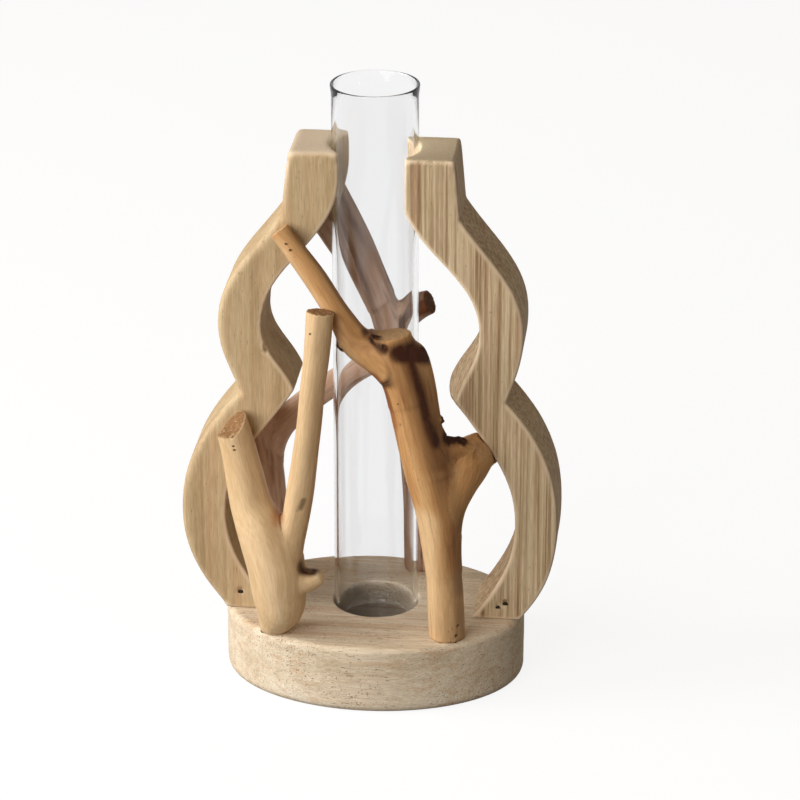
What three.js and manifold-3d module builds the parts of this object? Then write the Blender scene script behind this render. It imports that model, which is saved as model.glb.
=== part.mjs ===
// Wooden vase: a glass tube stands in an oval wooden base, held between the grooved necks of two
// cut-out boards, with four forked branches nailed to the boards and to the base.
// Millimetres, +Z up, +X to the right, +Y to the rear. The origin is on the tube's axis, at the
// underside of the base.

import * as THREE from 'three';
import { mergeVertices } from 'three/addons/utils/BufferGeometryUtils.js';
import loadManifold from 'manifold-3d';

// Glass tube
const TUBE_RADIUS = 15;
const TUBE_WALL = 1.5;
const TUBE_LENGTH = 203.5;
const TUBE_HEEL = 3.5; // radius of the rounded corner at the closed end
const RIM_FLARE = 0.4; // how far the rim opens out
const RIM_HEIGHT = 4; // length of tube over which it opens
const TUBE_CLEARANCE = 0.4; // between the tube and the wood round it
const SEAT_GAP = 0.3; // between a piece and the shaped seat that it bears on

// Oval base
const BASE_LENGTH = 106.8;
const BASE_DEPTH = 79.6;
const BASE_HEIGHT = 24.6;
const BASE_FORWARD = 2.2; // how far the oval's centre lies in front of the tube
const BASE_TOP_EASE = 1; // rounding of the upper edge
const BASE_HEEL = 4; // height of the drawn-in lower edge
const BASE_HEEL_INSET = 2.2;
const BORE_DEPTH = 10; // of the socket for the tube

// Boards: levels stack up from the top of the base, reaches run out from the neck's inner face
const BOARD_THICKNESS = 26;
const GROOVE_BITE = 3.7; // how deep the tube lies in each neck
const LOWER_RISE = 37; // foot to the widest level of the lower lobe
const WAIST_RISE = 46.4; // lower lobe to the waist
const UPPER_RISE = 25; // waist to the widest level of the upper lobe
const SHOULDER_RISE = 41.5; // upper lobe to the foot of the neck
const NECK_WIDTH = 17.1;
const UPPER_RIB = 15.3; // width of the wood at the upper lobe
const WAIST_REACH = 35.4;
const FOOT_REACH = 41.2;
const FOOT_WIDTH = 17;

// What differs between the two boards
const LEFT_BOARD = {
  side: -1,
  neckLength: 22.9,
  neckFoot: 12, // where the inside leaves the neck, above the shoulder
  neckArrive: 94,
  shoulderReach: 20,
  upperReach: 42.6,
  lowerReach: 56.6,
  lowerRib: 15.6,
  frontTip: { reach: 15.9, drop: -1.6, leave: 68 },
  rearTip: { reach: 15.9, drop: -1.6, leave: 68 },
  outerEase: 2.4,
  innerEase: 0.8,
};
const RIGHT_BOARD = {
  side: 1,
  neckLength: 21.3,
  neckFoot: 2,
  neckArrive: 114,
  shoulderReach: 19,
  upperReach: 41.2,
  lowerReach: 54,
  lowerRib: 14.9,
  frontTip: { reach: 17.9, drop: 0.2, leave: 74 },
  rearTip: { reach: 14, drop: 9, leave: 106 },
  outerEase: 1,
  innerEase: 0.8,
};

// Bearings of the outline at the corners that both boards share, in degrees from the outward
// horizontal, as the boards' own are
const SHOULDER_LEAN = -57;
const WAIST_ARRIVE = -110;
const WAIST_LEAVE = -48;
const FOOT_ARRIVE = -130;
const FOOT_LEAVE = 54;
const TIP_ARRIVE = 122;
const BEND_REACH = 0.38; // length of a curve's handle, as a share of its chord

// Branches
const FOOT_SINK = 3; // length of each foot below the base's top before it is sawn off level
const PRONG_CUT_LEVEL = 72.4; // the slanting cut on the front fork's thick prong, above the base
const PRONG_CUT_REACH = 48.1; // to the left of the tube's axis
const PRONG_CUT_OUT = 6.9; // and in front of the boards
const PRONG_CUT_FACE = new THREE.Vector3(-0.68, -0.33, 0.66); // the way that the cut faces

// Brads
const BRAD_LENGTH = 16;
const BRAD_WIDTH = 1.2;
const BRAD_THICKNESS = 1;
const BRAD_HEAD_WIDTH = 1.9;
const BRAD_HEAD_HEIGHT = 0.8;
const BRAD_POINT = 2; // length of the chisel point
const BRAD_TIP_WIDTH = 0.4;
const BRAD_SET = 1; // how far the heads are punched below the wood
const BRAD_CLEARANCE = 0.15;
const PUNCH_RUN_OUT = 4; // how far a brad's hole runs on outside the wood
const TOE_SLOPE = 0.55; // sideways run of a slanting brad for each unit down
const TOE_SINK = 1.6; // how much deeper than the others they are set in a limb's foot
const TOE_LEVEL = 7.2; // where the boards' brads enter, above the base
const TOE_OUT = 3.4; // how far outside the foot's middle they enter
const TOE_PITCH = 2.6; // sideways step between the two brads of a pair
const TOE_STEP = 1.6; // and the step down
const SHARE_STEP = 0.002; // accuracy of a level along a limb

// Facets
const TUBE_SIDES = 36;
const BORE_SIDES = 48;
const BASE_SIDES = 64;
const ARC_STEPS = 3; // on each rounded corner of the tube
const BEND_STEPS = 16; // on each curve of a board's outline
const EASE_STEPS = 3; // on each rounded edge
const LIMB_SIDES = 12;
const RINGS_PER_STATION = 2;
const MITRE_LIMIT = 0.5; // least cosine of half the turn at a corner that is moved inwards

// Levels and planes that several pieces share
const BASE_TOP = BASE_HEIGHT;
const BORE_FLOOR = BASE_TOP - BORE_DEPTH;
const BORE_RADIUS = TUBE_RADIUS + TUBE_CLEARANCE;
const HALF_THICKNESS = BOARD_THICKNESS / 2;
const NECK_FACE = TUBE_RADIUS - GROOVE_BITE;
const LOWER_LEVEL = BASE_TOP + LOWER_RISE;
const WAIST_LEVEL = LOWER_LEVEL + WAIST_RISE;
const UPPER_LEVEL = WAIST_LEVEL + UPPER_RISE;
const SHOULDER_LEVEL = UPPER_LEVEL + SHOULDER_RISE;
const CUTTER_SIZE = 2 * (BASE_LENGTH + TUBE_LENGTH);

const wasm = await loadManifold();
wasm.setup();

// Closed solids and cuts

function solidFrom(geometry) {
  const bare = geometry.clone();
  bare.deleteAttribute('normal');
  bare.deleteAttribute('uv');
  const merged = mergeVertices(bare);
  const index = merged.index.array;
  const triangles = [];
  for (let i = 0; i < index.length; i += 3) {
    const [a, b, c] = [index[i], index[i + 1], index[i + 2]];
    if (a !== b && b !== c && c !== a) triangles.push(a, b, c);
  }
  const vertProperties = new Float32Array(merged.attributes.position.array);
  const triVerts = new Uint32Array(triangles);
  return new wasm.Manifold(new wasm.Mesh({ numProp: 3, vertProperties, triVerts }));
}

function geometryFrom(solid) {
  const mesh = solid.getMesh();
  const geometry = new THREE.BufferGeometry();
  geometry.setAttribute('position', new THREE.BufferAttribute(mesh.vertProperties, 3));
  geometry.setIndex(new THREE.BufferAttribute(mesh.triVerts, 1));
  geometry.computeVertexNormals();
  return geometry;
}

// A closed skin over rings of equal count; the end caps take the given triangles of ring indices
function skinOver(rings, capTriangles) {
  const count = rings[0].length;
  const last = (rings.length - 1) * count;
  const index = [];
  for (let row = 0; row < rings.length - 1; row += 1) {
    for (let i = 0; i < count; i += 1) {
      const a = row * count + i;
      const b = row * count + ((i + 1) % count);
      index.push(a, b, a + count, b, b + count, a + count);
    }
  }
  for (const [a, b, c] of capTriangles) {
    index.push(a, c, b);
    index.push(last + a, last + b, last + c);
  }
  const geometry = new THREE.BufferGeometry();
  geometry.setFromPoints(rings.flat());
  geometry.setIndex(index);
  return geometry;
}

// Triangles over a flat outline of any form, all turning the way that the outline runs
function faceTriangles(points) {
  const clockwise = THREE.ShapeUtils.isClockWise(points);
  return THREE.ShapeUtils.triangulateShape(points, []).map(([a, b, c]) => {
    const same = THREE.ShapeUtils.isClockWise([points[a], points[b], points[c]]) === clockwise;
    return same ? [a, b, c] : [a, c, b];
  });
}

function fanTriangles(count) {
  const triangles = [];
  for (let i = 1; i < count - 1; i += 1) triangles.push([0, i, i + 1]);
  return triangles;
}

// Steps round an eased edge: shares of its radius, in from the face and in from the side
function easedSteps() {
  const steps = [];
  for (let step = 0; step <= EASE_STEPS; step += 1) {
    const turn = (Math.PI / 2) * (step / EASE_STEPS);
    steps.push({ depth: 1 - Math.cos(turn), inset: 1 - Math.sin(turn) });
  }
  return steps;
}

// A large block that fills everything beyond a plane, for sawing a piece off
function beyondPlane(point, normal) {
  const block = new THREE.BoxGeometry(CUTTER_SIZE, CUTTER_SIZE, CUTTER_SIZE);
  block.translate(0, 0, CUTTER_SIZE / 2);
  const turn = new THREE.Quaternion();
  turn.setFromUnitVectors(new THREE.Vector3(0, 0, 1), normal.clone().normalize());
  block.applyQuaternion(turn);
  block.translate(point.x, point.y, point.z);
  return solidFrom(block);
}

// The space that the tube and its clearance take, from a level upwards
function tubeSpace(fromLevel) {
  const space = new THREE.CylinderGeometry(BORE_RADIUS, BORE_RADIUS, CUTTER_SIZE, BORE_SIDES);
  space.rotateX(Math.PI / 2);
  space.translate(0, 0, fromLevel + CUTTER_SIZE / 2);
  return solidFrom(space);
}

// Glass tube

function glassTube() {
  const heel = TUBE_HEEL;
  const inner = TUBE_RADIUS - TUBE_WALL;
  const lip = TUBE_WALL / 2;
  const profile = new THREE.Path();
  profile.moveTo(0, 0);
  profile.lineTo(TUBE_RADIUS - heel, 0);
  profile.absarc(TUBE_RADIUS - heel, heel, heel, -Math.PI / 2, 0, false);
  profile.lineTo(TUBE_RADIUS, TUBE_LENGTH - RIM_HEIGHT);
  profile.absarc(TUBE_RADIUS + RIM_FLARE - lip, TUBE_LENGTH - lip, lip, 0, Math.PI, false);
  profile.lineTo(inner, TUBE_LENGTH - RIM_HEIGHT);
  profile.absarc(TUBE_RADIUS - heel, heel, heel - TUBE_WALL, 0, -Math.PI / 2, true);
  profile.lineTo(0, TUBE_WALL);
  const geometry = new THREE.LatheGeometry(profile.getPoints(ARC_STEPS), TUBE_SIDES);
  geometry.rotateX(Math.PI / 2);
  geometry.translate(0, 0, BORE_FLOOR + SEAT_GAP);
  return solidFrom(geometry);
}

// Oval base

function baseRing(level, inset) {
  const ring = [];
  for (let i = 0; i < BASE_SIDES; i += 1) {
    const turn = (2 * Math.PI * i) / BASE_SIDES;
    const x = (BASE_LENGTH / 2 - inset) * Math.cos(turn);
    const y = (BASE_DEPTH / 2 - inset) * Math.sin(turn) - BASE_FORWARD;
    ring.push(new THREE.Vector3(x, y, level));
  }
  return ring;
}

function baseOval() {
  const rings = easedSteps().map((row) => baseRing(BASE_HEEL * row.depth, BASE_HEEL_INSET * row.inset));
  rings.push(baseRing(BASE_TOP - BASE_TOP_EASE, 0));
  rings.push(baseRing(BASE_TOP, BASE_TOP_EASE));
  const block = solidFrom(skinOver(rings, fanTriangles(BASE_SIDES)));
  return block.subtract(tubeSpace(BORE_FLOOR));
}

// A place on the base's top, at a bearing from the oval's centre and inset from its edge
function onBase(bearing, inset) {
  const turn = THREE.MathUtils.degToRad(bearing);
  const x = (BASE_LENGTH / 2 - inset) * Math.cos(turn);
  const y = (BASE_DEPTH / 2 - inset) * Math.sin(turn) - BASE_FORWARD;
  return [x, y];
}

// Boards

// Continues an outline to a point, leaving and arriving at the given bearings
function bendTo(outline, leave, reach, level, arrive) {
  const start = outline.currentPoint;
  const handle = BEND_REACH * Math.hypot(reach - start.x, level - start.y);
  const out = THREE.MathUtils.degToRad(leave);
  const into = THREE.MathUtils.degToRad(arrive);
  outline.bezierCurveTo(
    start.x + handle * Math.cos(out),
    start.y + handle * Math.sin(out),
    reach - handle * Math.cos(into),
    level - handle * Math.sin(into),
    reach,
    level,
  );
}

// The board's outline from the neck's inner top corner, down the outside and up the inside
function boardOutline(board, tip) {
  const out = (reach) => NECK_FACE + reach;
  const top = SHOULDER_LEVEL + board.neckLength;
  const outline = new THREE.Path();
  outline.moveTo(out(0), top);
  outline.lineTo(out(NECK_WIDTH), top);
  outline.lineTo(out(board.shoulderReach), SHOULDER_LEVEL);
  bendTo(outline, SHOULDER_LEAN, out(board.upperReach), UPPER_LEVEL, -90);
  bendTo(outline, -90, out(WAIST_REACH), WAIST_LEVEL, WAIST_ARRIVE);
  bendTo(outline, WAIST_LEAVE, out(board.lowerReach), LOWER_LEVEL, -90);
  bendTo(outline, -90, out(FOOT_REACH), BASE_TOP, FOOT_ARRIVE);
  const footCorner = outline.getPoints(BEND_STEPS).length - 1;
  outline.lineTo(out(FOOT_REACH - FOOT_WIDTH), BASE_TOP);
  bendTo(outline, FOOT_LEAVE, out(board.lowerReach - board.lowerRib), LOWER_LEVEL, 90);
  bendTo(outline, 90, out(tip.reach), WAIST_LEVEL - tip.drop, TIP_ARRIVE);
  bendTo(outline, tip.leave, out(board.upperReach - UPPER_RIB), UPPER_LEVEL, 90);
  bendTo(outline, 90, out(0), SHOULDER_LEVEL + board.neckFoot, board.neckArrive);
  const points = outline.getPoints(BEND_STEPS);
  const eases = points.map((point, i) => {
    const onOuterSide = i > 1 && i < footCorner;
    return onOuterSide ? board.outerEase : board.innerEase;
  });
  return { points, eases };
}

// Moves each point of a closed outline inwards by its own distance
function insetOutline(points, distances) {
  const inward = THREE.ShapeUtils.isClockWise(points) ? -1 : 1;
  const count = points.length;
  return points.map((point, i) => {
    const before = points[(i + count - 1) % count];
    const after = points[(i + 1) % count];
    const incoming = point.clone().sub(before).normalize();
    const outgoing = after.clone().sub(point).normalize();
    const along = incoming.clone().add(outgoing).normalize();
    const normal = new THREE.Vector2(-along.y, along.x).multiplyScalar(inward);
    const spread = Math.max(along.dot(outgoing), MITRE_LIMIT);
    return point.clone().addScaledVector(normal, distances[i] / spread);
  });
}

// A board between its front and rear outlines, with eased edges; grow makes it larger all round
function boardSolid(board, grow) {
  const front = boardOutline(board, board.frontTip);
  const rear = boardOutline(board, board.rearTip);
  const rows = easedSteps();
  const ringAt = (outline, row, face) => {
    const distances = outline.eases.map((ease) => ease * row.inset - grow);
    const flat = insetOutline(outline.points, distances);
    return flat.map((point, i) => {
      const y = face * (HALF_THICKNESS + grow - outline.eases[i] * row.depth);
      return new THREE.Vector3(board.side * point.x, y, point.y);
    });
  };
  const rings = rows.map((row) => ringAt(front, row, -1));
  for (const row of rows.toReversed()) rings.push(ringAt(rear, row, 1));
  if (board.side < 0) rings.forEach((ring) => ring.reverse());
  const face = rings[0].map((point) => new THREE.Vector2(point.x, point.z));
  return solidFrom(skinOver(rings, faceTriangles(face)));
}

function boardWithGroove(board) {
  const level = beyondPlane(new THREE.Vector3(0, 0, BASE_TOP), new THREE.Vector3(0, 0, -1));
  return boardSolid(board, 0).subtract(tubeSpace(0)).subtract(level);
}

// Branches

// A station is a centre and a radius: in front of the boards, behind them, or on the base's edge
function inFront(x, distance, level, radius) {
  return { centre: new THREE.Vector3(x, -HALF_THICKNESS - distance, BASE_TOP + level), radius };
}

function behind(x, distance, level, radius) {
  return { centre: new THREE.Vector3(x, HALF_THICKNESS + distance, BASE_TOP + level), radius };
}

function footOn(bearing, inset, radius) {
  const [x, y] = onBase(bearing, inset);
  return { centre: new THREE.Vector3(x, y, BASE_TOP - FOOT_SINK), radius };
}

// A limb follows a smooth path through its stations and swells and tapers with their radii
function limbAlong(stations) {
  const path = new THREE.CatmullRomCurve3(stations.map((station) => station.centre));
  const radii = stations.map((station, i) => new THREE.Vector2(i, station.radius));
  const girth = new THREE.SplineCurve(radii);
  const radiusAt = (share) => girth.getPoint(path.getUtoTmapping(share)).y;
  return { path, radiusAt, steps: RINGS_PER_STATION * (stations.length - 1) };
}

function limbSolid(limb, grow) {
  const frames = limb.path.computeFrenetFrames(limb.steps, false);
  const rings = [];
  for (let step = 0; step <= limb.steps; step += 1) {
    const share = step / limb.steps;
    const centre = limb.path.getPointAt(share);
    const radius = limb.radiusAt(share) + grow;
    const ring = [];
    for (let side = 0; side < LIMB_SIDES; side += 1) {
      const turn = (2 * Math.PI * side) / LIMB_SIDES;
      const point = centre.clone();
      point.addScaledVector(frames.normals[step], radius * Math.cos(turn));
      point.addScaledVector(frames.binormals[step], radius * Math.sin(turn));
      ring.push(point);
    }
    rings.push(ring);
  }
  return solidFrom(skinOver(rings, fanTriangles(LIMB_SIDES)));
}

function branchSolid(limbs, grow) {
  const solids = Object.values(limbs).map((limb) => limbSolid(limb, grow));
  return solids.reduce((whole, solid) => whole.add(solid));
}

// Sawn level at the foot and cleared for the tube
function standing(branch) {
  const below = beyondPlane(new THREE.Vector3(0, 0, BASE_TOP), new THREE.Vector3(0, 0, -1));
  return branch.subtract(below).subtract(tubeSpace(0));
}

const frontFork = {
  trunk: limbAlong([
    footOn(226, 4, 3.4),
    inFront(-32.9, 16.6, 3, 5.4),
    inFront(-30.6, 17, 10, 8.4),
    inFront(-31.2, 16.4, 15.5, 9.4),
    inFront(-32.2, 15.6, 24, 10),
    inFront(-36.1, 13.6, 35, 9.1),
    inFront(-41.1, 10.7, 45, 7.4),
    inFront(-43.7, 8.4, 55, 6.8),
    inFront(-46.5, 6.4, 66, 6),
    inFront(-50, 5.4, 80, 5.5),
  ]),
  prong: limbAlong([
    inFront(-31, 14.8, 24, 7),
    inFront(-25.8, 14.2, 41, 5.1),
    inFront(-23.1, 14.3, 56, 4.7),
    inFront(-20.9, 14.9, 72, 4.4),
    inFront(-18.7, 15.6, 91, 4.3),
    inFront(-17.1, 16.7, 105, 4.5),
    inFront(-16.2, 17.2, 114, 4.7),
    inFront(-15.6, 16.3, 121.4, 4.9),
  ]),
  spur: limbAlong([
    inFront(-28, 16.4, 19.5, 5),
    inFront(-21.4, 17.2, 20.6, 4.2),
    inFront(-15.6, 18.2, 23.2, 2.6),
  ]),
};

const frontBranch = {
  stem: limbAlong([
    footOn(308, 8, 6.4),
    inFront(27.8, 15.8, 9.2, 6.5),
    inFront(26.4, 16.2, 30, 6.2),
    inFront(24.4, 15, 47.4, 7.2),
    inFront(21, 13.8, 63.4, 8.2),
    inFront(17, 13, 79.4, 7.9),
    inFront(13.2, 12, 94.4, 7.4),
    inFront(9.4, 11.2, 105, 6.8),
    inFront(8.3, 11, 112, 6.3),
  ]),
  ridge: limbAlong([
    inFront(23, 14, 66, 5),
    inFront(20.2, 12.6, 87, 4.2),
    inFront(17, 11.8, 103, 4.4),
    inFront(15.3, 11.3, 108.2, 4.1),
  ]),
  leftLimb: limbAlong([
    inFront(11, 11.8, 101, 7),
    inFront(2.6, 11.2, 104.9, 6.5),
    inFront(-3.8, 10.6, 108.3, 5.5),
    inFront(-9.8, 9.2, 116.8, 4.3),
    inFront(-18.5, 7.1, 130, 4.1),
    inFront(-24.6, 5.4, 137.8, 3.8),
    inFront(-31, 3.7, 145.8, 3.5),
  ]),
  rightLimb: limbAlong([
    inFront(26.6, 14.8, 40, 5.2),
    inFront(27.6, 13.2, 50, 6.9),
    inFront(30.2, 9.4, 57.5, 8.2),
    inFront(33.4, 3.8, 61.4, 8.3),
    inFront(36.9, -4, 62.6, 6.8),
    inFront(41, -10, 62.6, 5.8),
    inFront(44, -15, 62.6, 5.4),
  ]),
};

const rearBranch = {
  stem: limbAlong([
    footOn(69.4, 6.4, 7),
    behind(15.8, 15.4, 24, 6.8),
    behind(14.6, 14.4, 38, 6.6),
    behind(10.8, 12.8, 60, 6.4),
    behind(6, 11.4, 82.6, 6.4),
    behind(1.9, 10.2, 99.6, 6.1),
    behind(-3.4, 9.2, 114.6, 5.6),
    behind(-9, 8, 129.6, 5.2),
    behind(-15, 6.2, 142, 5),
    behind(-22, 4.8, 153, 4.6),
  ]),
  prong: limbAlong([
    behind(-0.5, 10, 106, 5),
    behind(-8, 9.6, 116, 4.6),
    behind(-15, 7.4, 127.4, 4.3),
    behind(-20, 5.6, 135.6, 4.1),
    behind(-28, 4.1, 145.4, 3.8),
  ]),
  spur: limbAlong([
    behind(3, 11, 94, 5),
    behind(9.5, 10.4, 101.4, 4.7),
    behind(13.6, 9.6, 104.8, 4.6),
    behind(16.8, 9, 106.4, 4.3),
  ]),
};

const rearFork = {
  stem: limbAlong([
    footOn(141, 4.5, 6.4),
    behind(-41.4, 8.4, 20, 7),
    behind(-43.2, 8, 38.4, 7.3),
    behind(-44.6, 7.6, 52, 7),
    behind(-46.5, 6.8, 64, 6.3),
    behind(-48, 6.2, 70, 5.9),
  ]),
  limb: limbAlong([
    behind(-43, 8.4, 46, 6),
    behind(-36.5, 8.2, 57.4, 5.2),
    behind(-27.5, 8.6, 66.4, 4.7),
    behind(-19.4, 9.5, 72.4, 4.5),
    behind(-11.9, 10.5, 77.7, 4.4),
    behind(3, 11.6, 86, 4.3),
  ]),
};

// The front fork, with the slanting saw cut across its thick prong alone
function frontForkSolid() {
  const { trunk, prong, spur } = frontFork;
  const cut = inFront(-PRONG_CUT_REACH, PRONG_CUT_OUT, PRONG_CUT_LEVEL, 0);
  const sawn = limbSolid(trunk, 0).subtract(beyondPlane(cut.centre, PRONG_CUT_FACE));
  return sawn.add(branchSolid({ prong, spur }, 0));
}

// Each branch gives way to the boards and to the branch that it is nailed to
function carvedBranches(leftRoom, rightRoom) {
  const branchRoom = branchSolid(frontBranch, SEAT_GAP);
  const rearRoom = branchSolid(rearBranch, SEAT_GAP);
  const fork = standing(frontForkSolid());
  const branch = standing(branchSolid(frontBranch, 0));
  const rear = standing(branchSolid(rearBranch, 0));
  const rearLeft = standing(branchSolid(rearFork, 0));
  return {
    front_left_fork: fork.subtract(leftRoom).subtract(branchRoom),
    front_right_branch: branch.subtract(leftRoom).subtract(rightRoom),
    rear_right_branch: rear.subtract(leftRoom),
    rear_left_fork: rearLeft.subtract(leftRoom).subtract(rearRoom),
  };
}

// Brads

// A brad stands on its point at the origin's foot, head up: its outline, widened by a clearance
function bradOutline(clearance, topLevel) {
  const head = BRAD_HEAD_WIDTH / 2 + clearance;
  const shank = BRAD_WIDTH / 2 + clearance;
  const tip = BRAD_TIP_WIDTH / 2 + clearance;
  const neckLevel = -BRAD_SET - BRAD_HEAD_HEIGHT - clearance;
  const tipLevel = -BRAD_SET - BRAD_LENGTH - clearance;
  const outline = new THREE.Shape();
  outline.moveTo(head, topLevel);
  outline.lineTo(-head, topLevel);
  outline.lineTo(-head, neckLevel);
  outline.lineTo(-shank, neckLevel);
  outline.lineTo(-shank, tipLevel + BRAD_POINT);
  outline.lineTo(-tip, tipLevel);
  outline.lineTo(tip, tipLevel);
  outline.lineTo(shank, tipLevel + BRAD_POINT);
  outline.lineTo(shank, neckLevel);
  outline.lineTo(head, neckLevel);
  outline.closePath();
  return outline;
}

function bradGeometry(clearance, topLevel) {
  const depth = BRAD_THICKNESS + 2 * clearance;
  const outline = bradOutline(clearance, topLevel);
  const geometry = new THREE.ExtrudeGeometry(outline, { depth, bevelEnabled: false });
  geometry.translate(0, 0, -depth / 2);
  geometry.rotateX(Math.PI / 2);
  return geometry;
}

// A brad's place: where it enters the wood and the way that it is driven
function driven(entry, direction) {
  const way = direction.clone().normalize();
  const turn = new THREE.Quaternion();
  turn.setFromUnitVectors(new THREE.Vector3(0, 0, -1), way);
  return { entry, turn };
}

// Through a limb's centre line, at a share of its length, from the side that faces the hammer
function throughLimb(limb, share, direction) {
  const way = direction.clone().normalize();
  const centre = limb.path.getPointAt(share);
  return driven(centre.addScaledVector(way, -limb.radiusAt(share)), way);
}

// Through one limb towards a place along another
function throughLimbTo(limb, share, other, otherShare) {
  const target = other.path.getPointAt(otherShare);
  return throughLimb(limb, share, target.sub(limb.path.getPointAt(share)));
}

// Aslant through the foot of a limb into the base, from a bearing round it
function throughLimbFoot(limb, bearing, level) {
  let share = 0;
  while (limb.path.getPointAt(share).z < BASE_TOP + level) share += SHARE_STEP;
  const turn = THREE.MathUtils.degToRad(bearing);
  const outward = new THREE.Vector3(Math.cos(turn), Math.sin(turn), 0);
  const entry = limb.path.getPointAt(share).addScaledVector(outward, limb.radiusAt(share));
  const way = outward.multiplyScalar(-TOE_SLOPE).setZ(-1).normalize();
  return driven(entry.addScaledVector(way, TOE_SINK), way);
}

// Aslant through the foot of a board into the base, from the front (-1) or the rear (1)
function throughBoardFoot(board, face, place) {
  const middle = NECK_FACE + FOOT_REACH - FOOT_WIDTH / 2;
  const x = board.side * (middle + TOE_OUT - place * TOE_PITCH);
  const level = BASE_TOP + TOE_LEVEL - place * TOE_STEP;
  const entry = new THREE.Vector3(x, face * HALF_THICKNESS, level);
  return driven(entry, new THREE.Vector3(0, -face * TOE_SLOPE, -1));
}

const TO_REAR = new THREE.Vector3(0, 1, 0);
const TO_FRONT = new THREE.Vector3(0, -1, 0);
const INTO_RIGHT_BOARD = new THREE.Vector3(0.95, 0.3, 0.05);

// Each brad: its name, its place and the two pieces that it holds together
const brads = [
  ['left_board_front_brad', throughBoardFoot(LEFT_BOARD, -1, 0), 'left_board', 'base_oval'],
  ['left_board_rear_brad', throughBoardFoot(LEFT_BOARD, 1, 0), 'left_board', 'base_oval'],
  ['right_board_front_brad_1', throughBoardFoot(RIGHT_BOARD, -1, 0), 'right_board', 'base_oval'],
  ['right_board_front_brad_2', throughBoardFoot(RIGHT_BOARD, -1, 1), 'right_board', 'base_oval'],
  ['right_board_rear_brad', throughBoardFoot(RIGHT_BOARD, 1, 0), 'right_board', 'base_oval'],
  ['fork_foot_brad', throughLimbFoot(frontFork.trunk, 188, 2.6), 'front_left_fork', 'base_oval'],
  ['fork_prong_brad_1', throughLimb(frontFork.trunk, 0.862, TO_REAR), 'front_left_fork', 'left_board'],
  ['fork_prong_brad_2', throughLimb(frontFork.trunk, 0.846, TO_REAR), 'front_left_fork', 'left_board'],
  [
    'fork_tip_brad',
    throughLimbTo(frontFork.prong, 0.95, frontBranch.leftLimb, 0.47),
    'front_left_fork',
    'front_right_branch',
  ],
  ['branch_foot_brad_1', throughLimbFoot(frontBranch.stem, 305, 7.4), 'front_right_branch', 'base_oval'],
  ['branch_foot_brad_2', throughLimbFoot(frontBranch.stem, 305, 2.6), 'front_right_branch', 'base_oval'],
  [
    'branch_limb_brad_1',
    throughLimb(frontBranch.leftLimb, 0.93, TO_REAR),
    'front_right_branch',
    'left_board',
  ],
  [
    'branch_limb_brad_2',
    throughLimb(frontBranch.leftLimb, 0.89, TO_REAR),
    'front_right_branch',
    'left_board',
  ],
  [
    'branch_side_brad',
    throughLimb(frontBranch.rightLimb, 0.72, INTO_RIGHT_BOARD),
    'front_right_branch',
    'right_board',
  ],
  ['rear_branch_foot_brad_1', throughLimbFoot(rearBranch.stem, 70, 7.4), 'rear_right_branch', 'base_oval'],
  ['rear_branch_foot_brad_2', throughLimbFoot(rearBranch.stem, 70, 2.6), 'rear_right_branch', 'base_oval'],
  ['rear_branch_top_brad', throughLimb(rearBranch.stem, 0.97, TO_FRONT), 'rear_right_branch', 'left_board'],
  [
    'rear_branch_prong_brad',
    throughLimb(rearBranch.prong, 0.96, TO_FRONT),
    'rear_right_branch',
    'left_board',
  ],
  ['rear_fork_foot_brad', throughLimbFoot(rearFork.stem, 60, 5), 'rear_left_fork', 'base_oval'],
  ['rear_fork_top_brad', throughLimb(rearFork.stem, 0.92, TO_FRONT), 'rear_left_fork', 'left_board'],
  [
    'rear_fork_limb_brad',
    throughLimbTo(rearBranch.stem, 0.53, rearFork.limb, 0.8),
    'rear_right_branch',
    'rear_left_fork',
  ],
];

// Assembly

const leftRoom = boardSolid(LEFT_BOARD, SEAT_GAP);
const rightRoom = boardSolid(RIGHT_BOARD, SEAT_GAP);
const woods = {
  base_oval: baseOval(),
  left_board: boardWithGroove(LEFT_BOARD),
  right_board: boardWithGroove(RIGHT_BOARD),
  ...carvedBranches(leftRoom, rightRoom),
};

for (const [, place, ...holds] of brads) {
  const hole = bradGeometry(BRAD_CLEARANCE, PUNCH_RUN_OUT);
  hole.applyQuaternion(place.turn);
  hole.translate(place.entry.x, place.entry.y, place.entry.z);
  const cutter = solidFrom(hole);
  for (const wood of holds) woods[wood] = woods[wood].subtract(cutter);
}

const WOOD_COLOURS = {
  base_oval: 0xd9bf97,
  left_board: 0xc7aa80,
  right_board: 0xb89b75,
  front_left_fork: 0xdcb988,
  front_right_branch: 0xb27e49,
  rear_right_branch: 0x9c7a60,
  rear_left_fork: 0xa88470,
};

const vase = new THREE.Group();

function addPiece(name, geometry, finish) {
  const mesh = new THREE.Mesh(geometry, new THREE.MeshStandardMaterial(finish));
  mesh.name = name;
  vase.add(mesh);
  return mesh;
}

for (const [name, solid] of Object.entries(woods)) {
  addPiece(name, geometryFrom(solid), { color: WOOD_COLOURS[name], roughness: 0.7, metalness: 0 });
}

addPiece('glass_tube', geometryFrom(glassTube()), {
  color: 0xeef3f2,
  roughness: 0.05,
  metalness: 0,
  transparent: true,
  opacity: 0.3,
});

for (const [name, place] of brads) {
  const finish = { color: 0x6d675f, roughness: 0.4, metalness: 0.9 };
  const brad = addPiece(name, bradGeometry(0, -BRAD_SET), finish);
  brad.position.copy(place.entry);
  brad.quaternion.copy(place.turn);
}

export default vase;
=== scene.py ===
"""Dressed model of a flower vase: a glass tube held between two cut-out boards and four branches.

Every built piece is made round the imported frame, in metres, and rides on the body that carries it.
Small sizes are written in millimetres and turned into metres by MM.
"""

import logging
import math
from dataclasses import dataclass, field
from enum import Enum

import bmesh
import bpy
import numpy as np
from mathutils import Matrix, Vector, noise
from mathutils.bvhtree import BVHTree


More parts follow.
